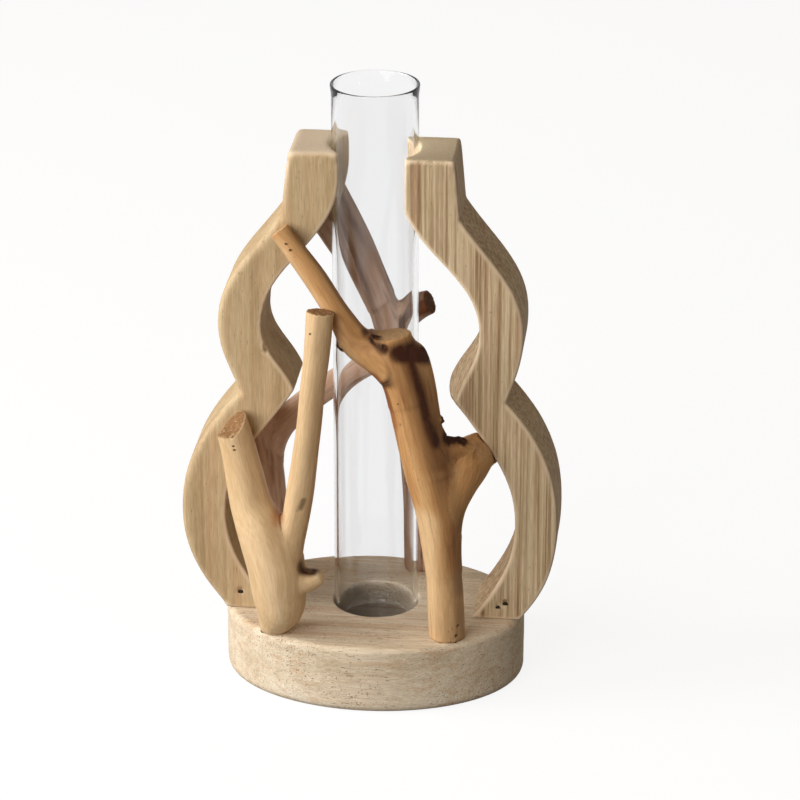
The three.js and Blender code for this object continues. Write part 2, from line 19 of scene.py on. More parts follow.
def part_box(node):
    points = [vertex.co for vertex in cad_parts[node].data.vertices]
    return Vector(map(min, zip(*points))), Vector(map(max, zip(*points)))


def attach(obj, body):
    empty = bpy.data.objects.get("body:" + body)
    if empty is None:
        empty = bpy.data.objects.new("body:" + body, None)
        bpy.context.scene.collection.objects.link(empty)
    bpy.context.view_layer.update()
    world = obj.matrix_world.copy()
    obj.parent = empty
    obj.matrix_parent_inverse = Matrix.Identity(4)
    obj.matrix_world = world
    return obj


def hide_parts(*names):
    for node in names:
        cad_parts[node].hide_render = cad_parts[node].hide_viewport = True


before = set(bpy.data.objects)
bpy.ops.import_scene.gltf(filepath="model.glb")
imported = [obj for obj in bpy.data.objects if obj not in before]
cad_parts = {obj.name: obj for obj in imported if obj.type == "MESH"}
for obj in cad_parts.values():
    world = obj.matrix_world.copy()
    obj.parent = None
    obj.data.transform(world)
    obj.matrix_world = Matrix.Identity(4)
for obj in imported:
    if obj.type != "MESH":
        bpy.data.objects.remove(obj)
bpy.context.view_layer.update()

MM = 0.001
TINY = 1e-9
LOG = logging.getLogger("vase")

# The painted attribute that holds a branch's grain: two values across the limb and one along it.
FLOW = "flow"

Colour = tuple[float, float, float, float]
Station = tuple[float, float, float, float]
Place = tuple[float, float, float]
Span = tuple[float, float]
Inputs = dict[str | int, object]
Socket = bpy.types.NodeSocket

BASE_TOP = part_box("base_oval")[1].z
BOARD_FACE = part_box("left_board")[1].y
RIM_FLARE = 0.4 * MM
TUBE_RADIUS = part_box("glass_tube")[1].y - RIM_FLARE
TUBE_ROOM = 0.35 * MM


class Body(Enum):
    """The moving bodies of the vase."""

    STAND = "stand"
    TUBE = "tube"


class Slot(Enum):
    """The record's material slots, named on each built piece."""

    BASE = "base_wood"
    BOARD = "board_wood"
    PALE = "pale_branch"
    BROWN = "brown_branch"
    GREY = "grey_branch"
    GLASS = "clear_glass"


class MarkKind(Enum):
    """What a mark on the wood is, named as its painted attribute."""

    BARK = "bark"
    DARK = "dark"
    STAIN_AND_SHADE = "stain_and_shade"
    BLUSH = "blush"
    PALE = "pale"
    PIT = "pit"
    SAWN = "sawn"


BARK, DARK, STAIN_AND_SHADE, BLUSH, PALE, PIT, SAWN = MarkKind


def paint(red: int, green: int, blue: int) -> Colour:
    """Turn a colour given in display values of 0 to 255 into a shader's colour.

    Args:
        red: Share of red.
        green: Share of green.
        blue: Share of blue.

    Returns:
        The linear colour.
    """
    # The sRGB curve.
    shares = [value / 255 for value in (red, green, blue)]
    linear = [((s + 0.055) / 1.055) ** 2.4 if s > 0.04045 else s / 12.92 for s in shares]
    return (*linear, 1.0)


WHITE = paint(255, 255, 255)


def eased(values: np.ndarray, low: float, high: float) -> np.ndarray:
    """Rise smoothly from 0 at the low value to 1 at the high one."""
    share = np.clip((values - low) / (high - low), 0.0, 1.0)
    return share * share * (3.0 - 2.0 * share)


def ripple(points: np.ndarray, pitch: Place) -> np.ndarray:
    """Give smooth noise between about -1 and 1 at each point.

    Args:
        points: Places in metres, one a row.
        pitch: Size of the noise's waves along each axis, in metres.

    Returns:
        One value for each point.
    """
    scaled = points / np.array(pitch)
    return np.array([noise.noise(row) for row in scaled.tolist()])


class NodeSheet:
    """A procedural material, whose nodes are added and linked by short calls."""

    # How rough every noise is, and the numbers of the mix node's sockets for colours.
    GRAIN = 0.55
    SHARE, UNDER, OVER, MIXED = 0, 6, 7, 2

    def __init__(self, name: str) -> None:
        """Start a material that holds only its shader and output.

        Args:
            name: The material's name.
        """
        self.material = bpy.data.materials.new(name)
        self.material.use_nodes = True
        self.tree = self.material.node_tree
        self.shader = self.tree.nodes["Principled BSDF"]
        self.output = self.tree.nodes["Material Output"]

    def node(self, kind: str, fed: Inputs, **settings: object) -> bpy.types.ShaderNode:
        """Add a node.

        Args:
            kind: The node's type.
            fed: What its inputs are linked to or set to, by name or number.
            settings: Its properties.

        Returns:
            The node.
        """
        added = self.tree.nodes.new(kind)
        for key, value in settings.items():
            setattr(added, key, value)
        for key, value in fed.items():
            self.feed(added.inputs[key], value)
        return added

    def feed(self, socket: Socket, value: object) -> None:
        """Link a socket, or set it.

        Args:
            socket: The input.
            value: Another node's output, or a plain value.
        """
        if isinstance(value, Socket):
            self.tree.links.new(value, socket)
        else:
            socket.default_value = value

    def set(self, **values: object) -> None:
        """Set or link the shader's sockets, named with underscores for spaces."""
        for key, value in values.items():
            self.feed(self.shader.inputs[key.replace("_", " ")], value)

    def sawn_place(self) -> Socket:
        """Give the surface's place in millimetres, along the axes of the vase."""
        place = self.node("ShaderNodeTexCoord", {}).outputs["Object"]
        return self.node("ShaderNodeMapping", {"Vector": place, "Scale": (1 / MM,) * 3}).outputs["Vector"]

    def grown_place(self) -> Socket:
        """Give the surface's place in millimetres, two across the limb and one along it."""
        return self.node("ShaderNodeAttribute", {}, attribute_name=FLOW).outputs["Vector"]

    def grain(
        self, place: Socket, pitch: Place, detail: float, shift: float = 0.0, bend: float = 0.0
    ) -> Socket:
        """Add noise whose waves have their own size along each axis.

        Args:
            place: The surface's place in millimetres.
            pitch: Size of the waves along each axis, in millimetres.
            detail: Octaves of finer noise.
            shift: Moves the noise, so that two boards differ.
            bend: How far the waves wander.

        Returns:
            The noise, around 0.5.
        """
        sizes = tuple(1 / size for size in pitch)
        spread = {"Vector": place, "Scale": sizes, "Location": (shift, 2 * shift, 3 * shift)}
        moved = self.node("ShaderNodeMapping", spread).outputs["Vector"]
        waves = {"Scale": 1.0, "Detail": detail, "Roughness": self.GRAIN, "Distortion": bend}
        return self.node("ShaderNodeTexNoise", {"Vector": moved, **waves}).outputs[0]

    def attribute(self, kind: MarkKind) -> Socket:
        """Give the strength of a painted kind of mark."""
        return self.node("ShaderNodeAttribute", {}, attribute_name=kind.value).outputs["Fac"]

    def math(self, operation: str, first: object, second: object) -> Socket:
        """Join two values by an operation such as ADD or MULTIPLY."""
        return self.node("ShaderNodeMath", {0: first, 1: second}, operation=operation).outputs[0]

    def times(self, first: object, second: object) -> Socket:
        """Multiply two values."""
        return self.math("MULTIPLY", first, second)

    def plus(self, first: object, second: object) -> Socket:
        """Add two values."""
        return self.math("ADD", first, second)

    def less(self, first: object, second: object) -> Socket:
        """Take the second value from the first."""
        return self.math("SUBTRACT", first, second)

    def step(self, value: Socket, low: float, high: float) -> Socket:
        """Rise smoothly from 0 to 1 as a value goes from low to high."""
        limits = {"Value": value, "From Min": low, "From Max": high}
        return self.node("ShaderNodeMapRange", limits, interpolation_type="SMOOTHSTEP").outputs[0]

    def ramp(self, value: Socket, stops: list[tuple[float, Colour]]) -> Socket:
        """Turn a value into a colour.

        Args:
            value: The value, from 0 to 1.
            stops: Values and their colours, in order.

        Returns:
            The colour between the stops.
        """
        mixed = self.node("ShaderNodeValToRGB", {"Fac": value})
        elements = mixed.color_ramp.elements
        while len(elements) < len(stops):
            elements.new(1.0)
        for element, (position, colour) in zip(elements, stops):
            element.position = position
            element.color = colour
        return mixed.outputs["Color"]

    def mix(self, share: object, under: object, over: object, blend: str = "MIX") -> Socket:
        """Lay one colour over another by a share."""
        layers = {self.SHARE: share, self.UNDER: under, self.OVER: over}
        return self.node("ShaderNodeMix", layers, data_type="RGBA", blend_type=blend).outputs[self.MIXED]

    def coat(self, colour: Socket, *coats: tuple[object, object]) -> Socket:
        """Lay coats over a colour.

        Args:
            colour: The colour below.
            coats: The share and the colour of each coat, from the lowest to the last.

        Returns:
            The colour on top.
        """
        for share, over in coats:
            colour = self.mix(share, colour, over)
        return colour

    def bump(self, height: Socket, depth: float) -> Socket:
        """Turn a height between 0 and 1 into a normal, for waves of a depth in metres."""
        return self.node("ShaderNodeBump", {"Height": height, "Distance": depth}).outputs["Normal"]


@dataclass(frozen=True)
class SawnFinish:
    """Bare sawn and sanded wood with straight grain, open pores, paler edges that carry a painted highlight
    with wear, and painted shade in hollows.
    """

    name: str
    dark: Colour
    middle: Colour
    light: Colour
    blush: Colour
    pore: Colour
    end: Colour
    worn: Colour
    along: Place
    stripe_pitch: float
    stripe_share: float
    stripe_edge: float
    pore_limit: float
    speck_limit: float
    shift: float

    # Noises: size of the waves across the grain and along it in millimetres, octaves and shift.
    NOISES = (
        (11, 150, 2, 0), (0.42, 7, 2, 5), (2.6, 130, 2, 7), (0.5, 3.2, 1, 11), (22, 22, 2, 13),
        (0.62, 0.62, 1, 17),
    )
    STRIPE_RUN, STRIPE_DETAIL, STRIPE_SHIFT, STRIPE_BEND = 95, 3, 3, 0.15
    # Where a noise starts and ends to show, and how strongly it shows.
    RED_EDGE, RED_SHARE = (0.5, 0.68), 0.55
    PORE_CROWD, PORE_EDGE, PORE_SHARE = 0.16, (0.0, 0.07), 0.7
    SPECK_CROWD, SPECK_EDGE, SPECK_SHARE = 0.3, (0.0, 0.06), 0.6
    FIBRE_TONES, FIBRE_SHARE = [(0.3, paint(214, 208, 200)), (0.7, WHITE)], 0.75
    # Least share of the arrises' painted highlight with wear and of the end grain, and the painted shade of
    # hollows.
    WORN_LEAST, HOLE, HOLE_SHARE = 0.35, paint(58, 38, 24), 0.85
    FIBRE_RISE, STRIPE_RISE, PORE_DROP, SPECK_DROP = 0.5, 0.4, 0.6, 0.5
    RELIEF, SHEEN, DULL_LEAST, DULL_RANGE = 0.09 * MM, 0.08, 0.55, 0.2

    def pitch(self, across: float, length: float) -> Place:
        """Give waves of a size across the grain and a length along it."""
        return tuple(length if share else across for share in self.along)

    def material(self) -> bpy.types.Material:
        """Build the finish's node material.

        Returns:
            The material.
        """
        sheet = NodeSheet(self.name)
        place = sheet.sawn_place()
        zones, fibres, reds, dashes, crowds, specks = (
            sheet.grain(place, self.pitch(across, run), detail, self.shift + shift)
            for across, run, detail, shift in self.NOISES
        )
        stripe = self.pitch(self.stripe_pitch, self.STRIPE_RUN)
        shift = self.shift + self.STRIPE_SHIFT
        stripes = sheet.grain(place, stripe, self.STRIPE_DETAIL, shift, self.STRIPE_BEND)
        striped = sheet.times(stripes, self.stripe_share)
        tone = sheet.plus(striped, sheet.times(zones, 1 - self.stripe_share))
        low, high = 0.5 - self.stripe_edge, 0.5 + self.stripe_edge
        colour = sheet.ramp(tone, [(low, self.dark), (0.5, self.middle), (high, self.light)])
        blushed = sheet.times(sheet.step(reds, *self.RED_EDGE), self.RED_SHARE)
        colour = sheet.mix(blushed, colour, self.blush)
        colour = sheet.mix(self.FIBRE_SHARE, colour, sheet.ramp(fibres, self.FIBRE_TONES), "MULTIPLY")
        limit = sheet.less(self.pore_limit, sheet.times(crowds, self.PORE_CROWD))
        open_pores = sheet.step(sheet.less(dashes, limit), *self.PORE_EDGE)
        limit = sheet.less(self.speck_limit, sheet.times(crowds, self.SPECK_CROWD))
        speckled = sheet.step(sheet.less(specks, limit), *self.SPECK_EDGE)
        colour = sheet.coat(
            colour,
            (sheet.times(open_pores, self.PORE_SHARE), self.pore),
            (sheet.times(speckled, self.SPECK_SHARE), self.pore),
            # Paler arrises: painted highlight with wear.
            (sheet.times(sheet.attribute(PALE), sheet.plus(crowds, self.WORN_LEAST)), self.worn),
            (sheet.times(sheet.attribute(SAWN), sheet.plus(specks, self.WORN_LEAST)), self.end),
            # Painted shade in holes, chips, the socket and the gap at the boards' feet, and the base's darker
            # heel.
            (sheet.times(sheet.attribute(PIT), self.HOLE_SHARE), self.HOLE),
        )
        height = sheet.plus(sheet.times(fibres, self.FIBRE_RISE), sheet.times(stripes, self.STRIPE_RISE))
        height = sheet.less(height, sheet.times(open_pores, self.PORE_DROP))
        height = sheet.less(height, sheet.times(speckled, self.SPECK_DROP))
        dull = sheet.plus(sheet.times(fibres, self.DULL_RANGE), self.DULL_LEAST)
        sheet.set(Base_Color=colour, Roughness=dull, Normal=sheet.bump(height, self.RELIEF))
        sheet.set(Specular_IOR_Level=self.SHEEN)
        return sheet.material


@dataclass(frozen=True)
class BranchFinish:
    """Barked and polished branch wood, with grain along the limbs, what bark was left, and painted light and
    shade where marks put them.
    """

    name: str
    dark: Colour
    middle: Colour
    light: Colour
    streak: Colour
    stain_and_shade: Colour
    blush: Colour
    pale: Colour
    sawn: Colour
    streak_pitch: float
    streak_share: float
    gloss: float
    shift: float

    # Noises: size of the waves across the limb and along it in millimetres, octaves and shift.
    NOISES = (
        (9, 60, 3, 0), (0.5, 6, 2, 5), (0.9, 1.6, 1, 7), (1.6, 3, 3, 9), (1.1, 1.8, 3, 15), (0.8, 0.8, 2, 21),
        (3.5, 8, 3, 25),
    )
    STREAK_RUN, STREAK_DETAIL, STREAK_SHIFT, STREAK_BEND = 38, 3, 3, 0.2
    # Where a noise starts and ends to show, and how strongly it shows.
    STREAK_EDGE, RAGGED_EDGE = (0.54, 0.72), (0.36, 0.64)
    SPECK_EDGE, SPECK_SHARE = (0.7, 0.78), 0.45
    TONE_SHARE, TONE_STOPS = 0.6, (0.34, 0.5, 0.66)
    FIBRE_TONES, FIBRE_SHARE = [(0.3, paint(226, 220, 212)), (0.7, WHITE)], 0.7
    BARK_TONES = [(0.35, paint(34, 18, 11)), (0.55, paint(62, 34, 19)), (0.72, paint(98, 58, 32))]
    BARK_REACH, BARK_EDGE, BARK_RIM = 0.22, (0.1, 0.8), (0.0, 0.3)
    PALE_LEAST, BLUSH_LEAST, STAIN_LEAST, DARK_LEAST = 0.4, 0.45, 0.45, 0.5
    STAIN_RANGE, DARK_RANGE = 0.9, 1.1
    # The dark colour of dark patches and painted shade, and the painted shade of holes and pits.
    SCORCH, HOLE, HOLE_SHARE = paint(58, 27, 11), paint(44, 27, 16), 0.9
    RING_WAVES = {"Scale": 0.42, "Distortion": 2.5, "Detail": 2.0, "Detail Scale": 0.6}
    RING_SHARE, DEEP_SHARE, RING_STOPS = 0.15, 0.65, (0.25, 0.55, 1.0)
    STREAK_RISE, FIBRE_RISE, BARK_RISE = 0.5, 0.3, 1.4
    RELIEF, SHEEN, DULL_ENDS, DULL_RANGE = 0.1 * MM, 0.12, 0.7, 0.3

    def material(self) -> bpy.types.Material:
        """Build the finish's node material.

        Returns:
            The material.
        """
        sheet = NodeSheet(self.name)
        along = sheet.grown_place()
        tones, fibres, specks, rags, flakes, torn, clouds = (
            sheet.grain(along, (across, across, run), detail, self.shift + shift)
            for across, run, detail, shift in self.NOISES
        )
        streak = (self.streak_pitch, self.streak_pitch, self.STREAK_RUN)
        shift = self.shift + self.STREAK_SHIFT
        streaks = sheet.grain(along, streak, self.STREAK_DETAIL, shift, self.STREAK_BEND)
        ragged = sheet.step(rags, *self.RAGGED_EDGE)
        tone = sheet.plus(sheet.times(tones, self.TONE_SHARE), sheet.times(streaks, 1 - self.TONE_SHARE))
        stain_and_shade_share = sheet.plus(sheet.times(streaks, self.STAIN_RANGE), self.STAIN_LEAST)
        cloudy = sheet.plus(sheet.times(clouds, self.DARK_RANGE), self.DARK_LEAST)
        ends, crust = sheet.attribute(SAWN), self.crust(sheet, ragged)
        colour = sheet.ramp(tone, list(zip(self.TONE_STOPS, (self.dark, self.middle, self.light))))
        colour = sheet.coat(
            colour,
            # Pale wood, with painted light where the pale marks lie on lit flanks.
            (sheet.times(sheet.attribute(PALE), sheet.plus(tones, self.PALE_LEAST)), self.pale),
            (sheet.times(sheet.step(streaks, *self.STREAK_EDGE), self.streak_share), self.streak),
        )
        colour = sheet.mix(self.FIBRE_SHARE, colour, sheet.ramp(fibres, self.FIBRE_TONES), "MULTIPLY")
        colour = sheet.coat(
            colour,
            (sheet.times(sheet.step(specks, *self.SPECK_EDGE), self.SPECK_SHARE), self.dark),
            # Stains, partly painted shade on the shaded sides of limbs.
            (sheet.times(sheet.attribute(STAIN_AND_SHADE), stain_and_shade_share), self.stain_and_shade),
            (sheet.times(sheet.attribute(BLUSH), sheet.plus(tones, self.BLUSH_LEAST)), self.blush),
            (ends, self.end_grain(sheet, along, torn)),
            # Dark patches of wood, and painted shade in a recess.
            (sheet.times(sheet.attribute(DARK), cloudy), self.SCORCH),
            (crust, sheet.ramp(flakes, self.BARK_TONES)),
            # Painted shade in holes and pits.
            (sheet.times(sheet.attribute(PIT), self.HOLE_SHARE), self.HOLE),
        )
        height = sheet.plus(sheet.times(streaks, self.STREAK_RISE), sheet.times(fibres, self.FIBRE_RISE))
        height = sheet.plus(height, sheet.times(sheet.times(ragged, crust), self.BARK_RISE))
        worn = sheet.plus(crust, sheet.times(ends, self.DULL_ENDS))
        dull = sheet.plus(sheet.times(worn, self.DULL_RANGE), self.gloss)
        sheet.set(Base_Color=colour, Roughness=dull, Normal=sheet.bump(height, self.RELIEF))
        sheet.set(Specular_IOR_Level=self.SHEEN)
        return sheet.material

    def end_grain(self, sheet: NodeSheet, along: Socket, torn: Socket) -> Socket:
        """Give the colour of a sawn end, with growth rings and torn fibres.

        Args:
            sheet: The material's nodes.
            along: The place on the limb.
            torn: The noise of the fibres.

        Returns:
            The colour.
        """
        waves = {"Vector": along, **self.RING_WAVES}
        rings = sheet.node("ShaderNodeTexWave", waves, wave_type="RINGS", rings_direction="Z")
        ringed = sheet.times(rings.outputs["Fac"], self.RING_SHARE)
        shade = sheet.plus(ringed, sheet.times(torn, 1 - self.RING_SHARE))
        deep = (*(self.DEEP_SHARE * share for share in self.sawn[:3]), 1.0)
        return sheet.ramp(shade, list(zip(self.RING_STOPS, (deep, self.sawn, self.middle))))

    def crust(self, sheet: NodeSheet, ragged: Socket) -> Socket:
        """Break the edge of the painted bark up by noise.

        Args:
            sheet: The material's nodes.
            ragged: Noise around 0.5.

        Returns:
            The bark's share, from 0 to 1.
        """
        painted = sheet.attribute(BARK)
        moved = sheet.times(sheet.less(ragged, 0.5), 2 * self.BARK_REACH)
        edge = sheet.step(sheet.plus(painted, moved), *self.BARK_EDGE)
        return sheet.times(edge, sheet.step(painted, *self.BARK_RIM))


@dataclass(frozen=True)
class GlassFinish:
    """Clear tube glass, greyer where more of it is looked through."""

    name: str = "clear_tube_glass"
    tint: Colour = (0.95, 0.952, 0.956, 1.0)
    density: float = 90.0
    wall: Colour = (0.938, 0.942, 0.947, 1.0)
    bending: float = 1.33
    smear: Place = (9, 9, 40)
    smear_edge: Span = (0.45, 0.85)
    breath: float = 0.02

    def material(self) -> bpy.types.Material:
        """Build the finish's node material.

        Returns:
            The material.
        """
        sheet = NodeSheet(self.name)
        smears = sheet.grain(sheet.sawn_place(), self.smear, 3)
        dull = sheet.times(sheet.step(smears, *self.smear_edge), self.breath)
        sheet.set(Base_Color=self.wall, Transmission_Weight=1.0, IOR=self.bending, Roughness=dull)
        depth = sheet.node("ShaderNodeVolumeAbsorption", {"Color": self.tint, "Density": self.density})
        sheet.feed(sheet.output.inputs["Volume"], depth.outputs[0])
        return sheet.material


@dataclass(frozen=True)
class SteelFinish:
    """Dulled drawn wire of the brads."""

    name: str = "dulled_brad_wire"
    spots: Place = (0.6, 0.6, 0.6)
    relief: float = 0.05 * MM
    metal: float = 0.2
    sheen: float = 0.2
    dull_range: float = 0.4
    dull_least: float = 0.4

    TONES = [(0.35, paint(34, 26, 21)), (0.6, paint(48, 40, 34)), (0.8, paint(70, 63, 57))]

    def material(self) -> bpy.types.Material:
        """Build the finish's node material.

        Returns:
            The material.
        """
        sheet = NodeSheet(self.name)
        rust = sheet.grain(sheet.sawn_place(), self.spots, 3)
        dull = sheet.plus(sheet.times(rust, self.dull_range), self.dull_least)
        sheet.set(Base_Color=sheet.ramp(rust, self.TONES), Metallic=self.metal, Roughness=dull)
        sheet.set(Normal=sheet.bump(rust, self.relief), Specular_IOR_Level=self.sheen)
        return sheet.material


@dataclass(frozen=True)
class StudioFinish:
    """White paper that shows as white to the camera and keeps a soft shadow."""

    paper: float = 0.16
    glow: float = 0.87

    def seen(self, tree: bpy.types.NodeTree) -> Socket:
        """Give 1 for rays that the eye follows: direct, mirrored or through glass.

        Args:
            tree: The nodes that need it.

        Returns:
            The output to link.
        """
        path = tree.nodes.new("ShaderNodeLightPath")
        followed = path.outputs["Is Camera Ray"]
        for ray in ("Is Glossy Ray", "Is Transmission Ray"):
            either = tree.nodes.new("ShaderNodeMath")
            either.operation = "MAXIMUM"
            tree.links.new(followed, either.inputs[0])
            tree.links.new(path.outputs[ray], either.inputs[1])
            followed = either.outputs[0]
        return followed

    def material(self) -> bpy.types.Material:
        """Build the floor's node material.

        Returns:
            The material.
        """
        sheet = NodeSheet("white_paper_floor")
        sheet.tree.nodes.remove(sheet.shader)
        matt = sheet.node("ShaderNodeBsdfDiffuse", {"Color": (self.paper, self.paper, self.paper, 1.0)})
        shining = sheet.times(self.seen(sheet.tree), self.glow)
        light = sheet.node("ShaderNodeEmission", {"Strength": shining})
        both = sheet.node("ShaderNodeAddShader", {0: matt.outputs[0], 1: light.outputs[0]})
        sheet.feed(sheet.output.inputs["Surface"], both.outputs[0])
        return sheet.material


def turned(sides: int) -> np.ndarray:
    """Give a circle of radius 1 as points in a plane."""
    turns = np.linspace(0, 2 * math.pi, sides, endpoint=False)
    return np.column_stack([np.cos(turns), np.sin(turns)])


def new_object(name: str, mesh: bpy.types.Mesh) -> bpy.types.Object:
    """Put a mesh into the scene as an object at the origin.

    Args:
        name: The object's name.
        mesh: Its mesh.

    Returns:
        The object.
    """
    made = bpy.data.objects.new(name, mesh)
    bpy.context.scene.collection.objects.link(made)
    return made


def paint_layer(mesh: bpy.types.Mesh, name: str, values: np.ndarray) -> None:
    """Keep values on a mesh as an attribute that the finish reads.

    Args:
        mesh: The piece's mesh.
        name: The attribute's name.
        values: One value, or one vector, for each point.
    """
    vector = values.ndim == 2
    layer = mesh.attributes.new(name, "FLOAT_VECTOR" if vector else "FLOAT", "POINT")
    layer.data.foreach_set("vector" if vector else "value", values.astype(np.float32).ravel())


def mesh_from_rings(name: str, rings: list[np.ndarray]) -> bpy.types.Mesh:
    """Skin closed rings of equal point counts, with a fan of faces at each end.

    Args:
        name: The mesh's name.
        rings: Rings of places in metres, in order from one end to the other.

    Returns:
        The mesh, with its faces pointing out.
    """
    shell = bmesh.new()
    rows = [[shell.verts.new(place) for place in ring] for ring in rings]
    count = len(rings[0])
    for low, high in zip(rows, rows[1:]):
        for i in range(count):
            j = (i + 1) % count
            shell.faces.new((low[i], low[j], high[j], high[i]))
    for row, ring in ((rows[0], rings[0]), (rows[-1], rings[-1])):
        middle = shell.verts.new(ring.mean(axis=0))
        for i in range(count):
            shell.faces.new((row[i], row[(i + 1) % count], middle))
    bmesh.ops.recalc_face_normals(shell, faces=shell.faces)
    mesh = bpy.data.meshes.new(name)
    shell.to_mesh(mesh)
    shell.free()
    return mesh


@dataclass(frozen=True)
class Brad:
    """A brad as it lies in the frame: its head, its direction and its section."""

    head: np.ndarray
    inward: np.ndarray
    across: np.ndarray
    length: float
    width: float
    thickness: float

    HEAD_DEPTH = 0.3 * MM
    SIDE_ROOM = 1.7 * MM
    SLANT_ROOM = 4.0 * MM
    SNUG = 1.1
    LOOK = Vector((0.31, 0.53, 0.79))
    LOOK_ON = 0.001 * MM
    WALK = 0.4 * MM
    WALK_FROM = -2.0 * MM
    HOLE_SIDES = 10
    HOLE_SHARE = 0.42
    HOLE_FLOOR = 0.02 * MM
    HOLE_RAGGED = 0.25
    PLUG_SHARE = 1.5
    RUN_OUT = 5.0 * MM

    @classmethod
    def from_node(cls, name: str) -> "Brad":
        """Measure a brad's node, whose wider end is the head.

        Args:
            name: The node's name.

        Returns:
            The measured brad.
        """
        places = np.array([vertex.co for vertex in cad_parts[name].data.vertices])
        middle = (places.max(axis=0) + places.min(axis=0)) / 2
        axes = np.linalg.svd(places - places.mean(axis=0), full_matrices=False)[2]
        runs = (places - middle) @ axes.T
        low_end = runs[:, 0] < runs[:, 0].min() + cls.HEAD_DEPTH
        high_end = runs[:, 0] > runs[:, 0].max() - cls.HEAD_DEPTH
        head_is_low = np.ptp(runs[low_end, 1]) > np.ptp(runs[high_end, 1])
        inward = axes[0] if head_is_low else -axes[0]
        reach = (places - middle) @ inward
        centre = middle + inward * reach.min()
        sides = np.ptp((places - middle) @ axes[1:].T, axis=0)
        return cls(centre, inward, axes[1], float(np.ptp(reach)), float(sides[0]), float(sides[1]))

    @property
    def aside(self) -> np.ndarray:
        """The direction across the brad's thin side."""
        return np.cross(self.inward, self.across)

    def prism(self, start: float, end: float, share: float, ragged: float = 0.0) -> bpy.types.Mesh:
        """Build a rounded prism along the brad.

        Args:
            start: Distance of its first end from the head's face.
            end: Distance of its other end.
            share: Its size, as a share of the head's.
            ragged: How uneven its outline is.

        Returns:
            The closed mesh.
        """
        turns = np.linspace(0, 2 * math.pi, self.HOLE_SIDES, endpoint=False)
        uneven = share * (1 + ragged * np.sin(3 * turns + self.head.sum() / MM))
        wide = np.outer(uneven * np.cos(turns), self.across) * self.width / 2
        thick = np.outer(uneven * np.sin(turns), self.aside) * self.thickness / 2
        rings = [self.head + self.inward * reach + wide + thick for reach in (start, end)]
        return mesh_from_rings("brad_prism", rings)

    def holds(self, place: np.ndarray) -> bool:
        """Tell whether a place is inside the brad.

        Args:
            place: A place in metres.

        Returns:
            True inside the brad or just beside it.
        """
        off = place - self.head
        wide = 2 * abs(off @ self.across) / self.width
        thick = 2 * abs(off @ self.aside) / self.thickness
        return max(wide, thick) < self.SNUG and 0 <= off @ self.inward <= self.length

    def run_inside(self, tree: BVHTree, brads: list["Brad"]) -> tuple[float, float] | None:
        """Find the stretch of the brad that has wood all round it, from its head's face.

        Args:
            tree: The wood's faces.
            brads: All brads; a neighbour counts as wood.

        Returns:
            The first and the last distance, or None where the brad misses the wood.
        """
        reaches = np.arange(self.WALK_FROM, self.length, self.WALK)
        sides = [self.SIDE_ROOM * way for way in (self.across, -self.across, self.aside, -self.aside)]
        inside = []
        for reach in reaches:
            axis = self.head + self.inward * reach
            places = [axis + side for side in sides]
            filled = [any(brad.holds(place) for brad in brads) for place in places]
            if all(full or self.within(Vector(place), tree) for full, place in zip(filled, places)):
                inside.append(float(reach))
        return (inside[0], inside[-1]) if inside else None

    @classmethod
    def within(cls, place: Vector, tree: BVHTree) -> bool:
        """Tell whether a place is inside closed faces, by counting the faces on one side of it.

        Args:
            place: A place in metres.
            tree: The closed faces.

        Returns:
            True inside them.
        """
        faces = 0
        hit = tree.ray_cast(place, cls.LOOK)[0]
        while hit is not None:
            faces += 1
            hit = tree.ray_cast(hit + cls.LOOK * cls.LOOK_ON, cls.LOOK)[0]
        return faces % 2 == 1


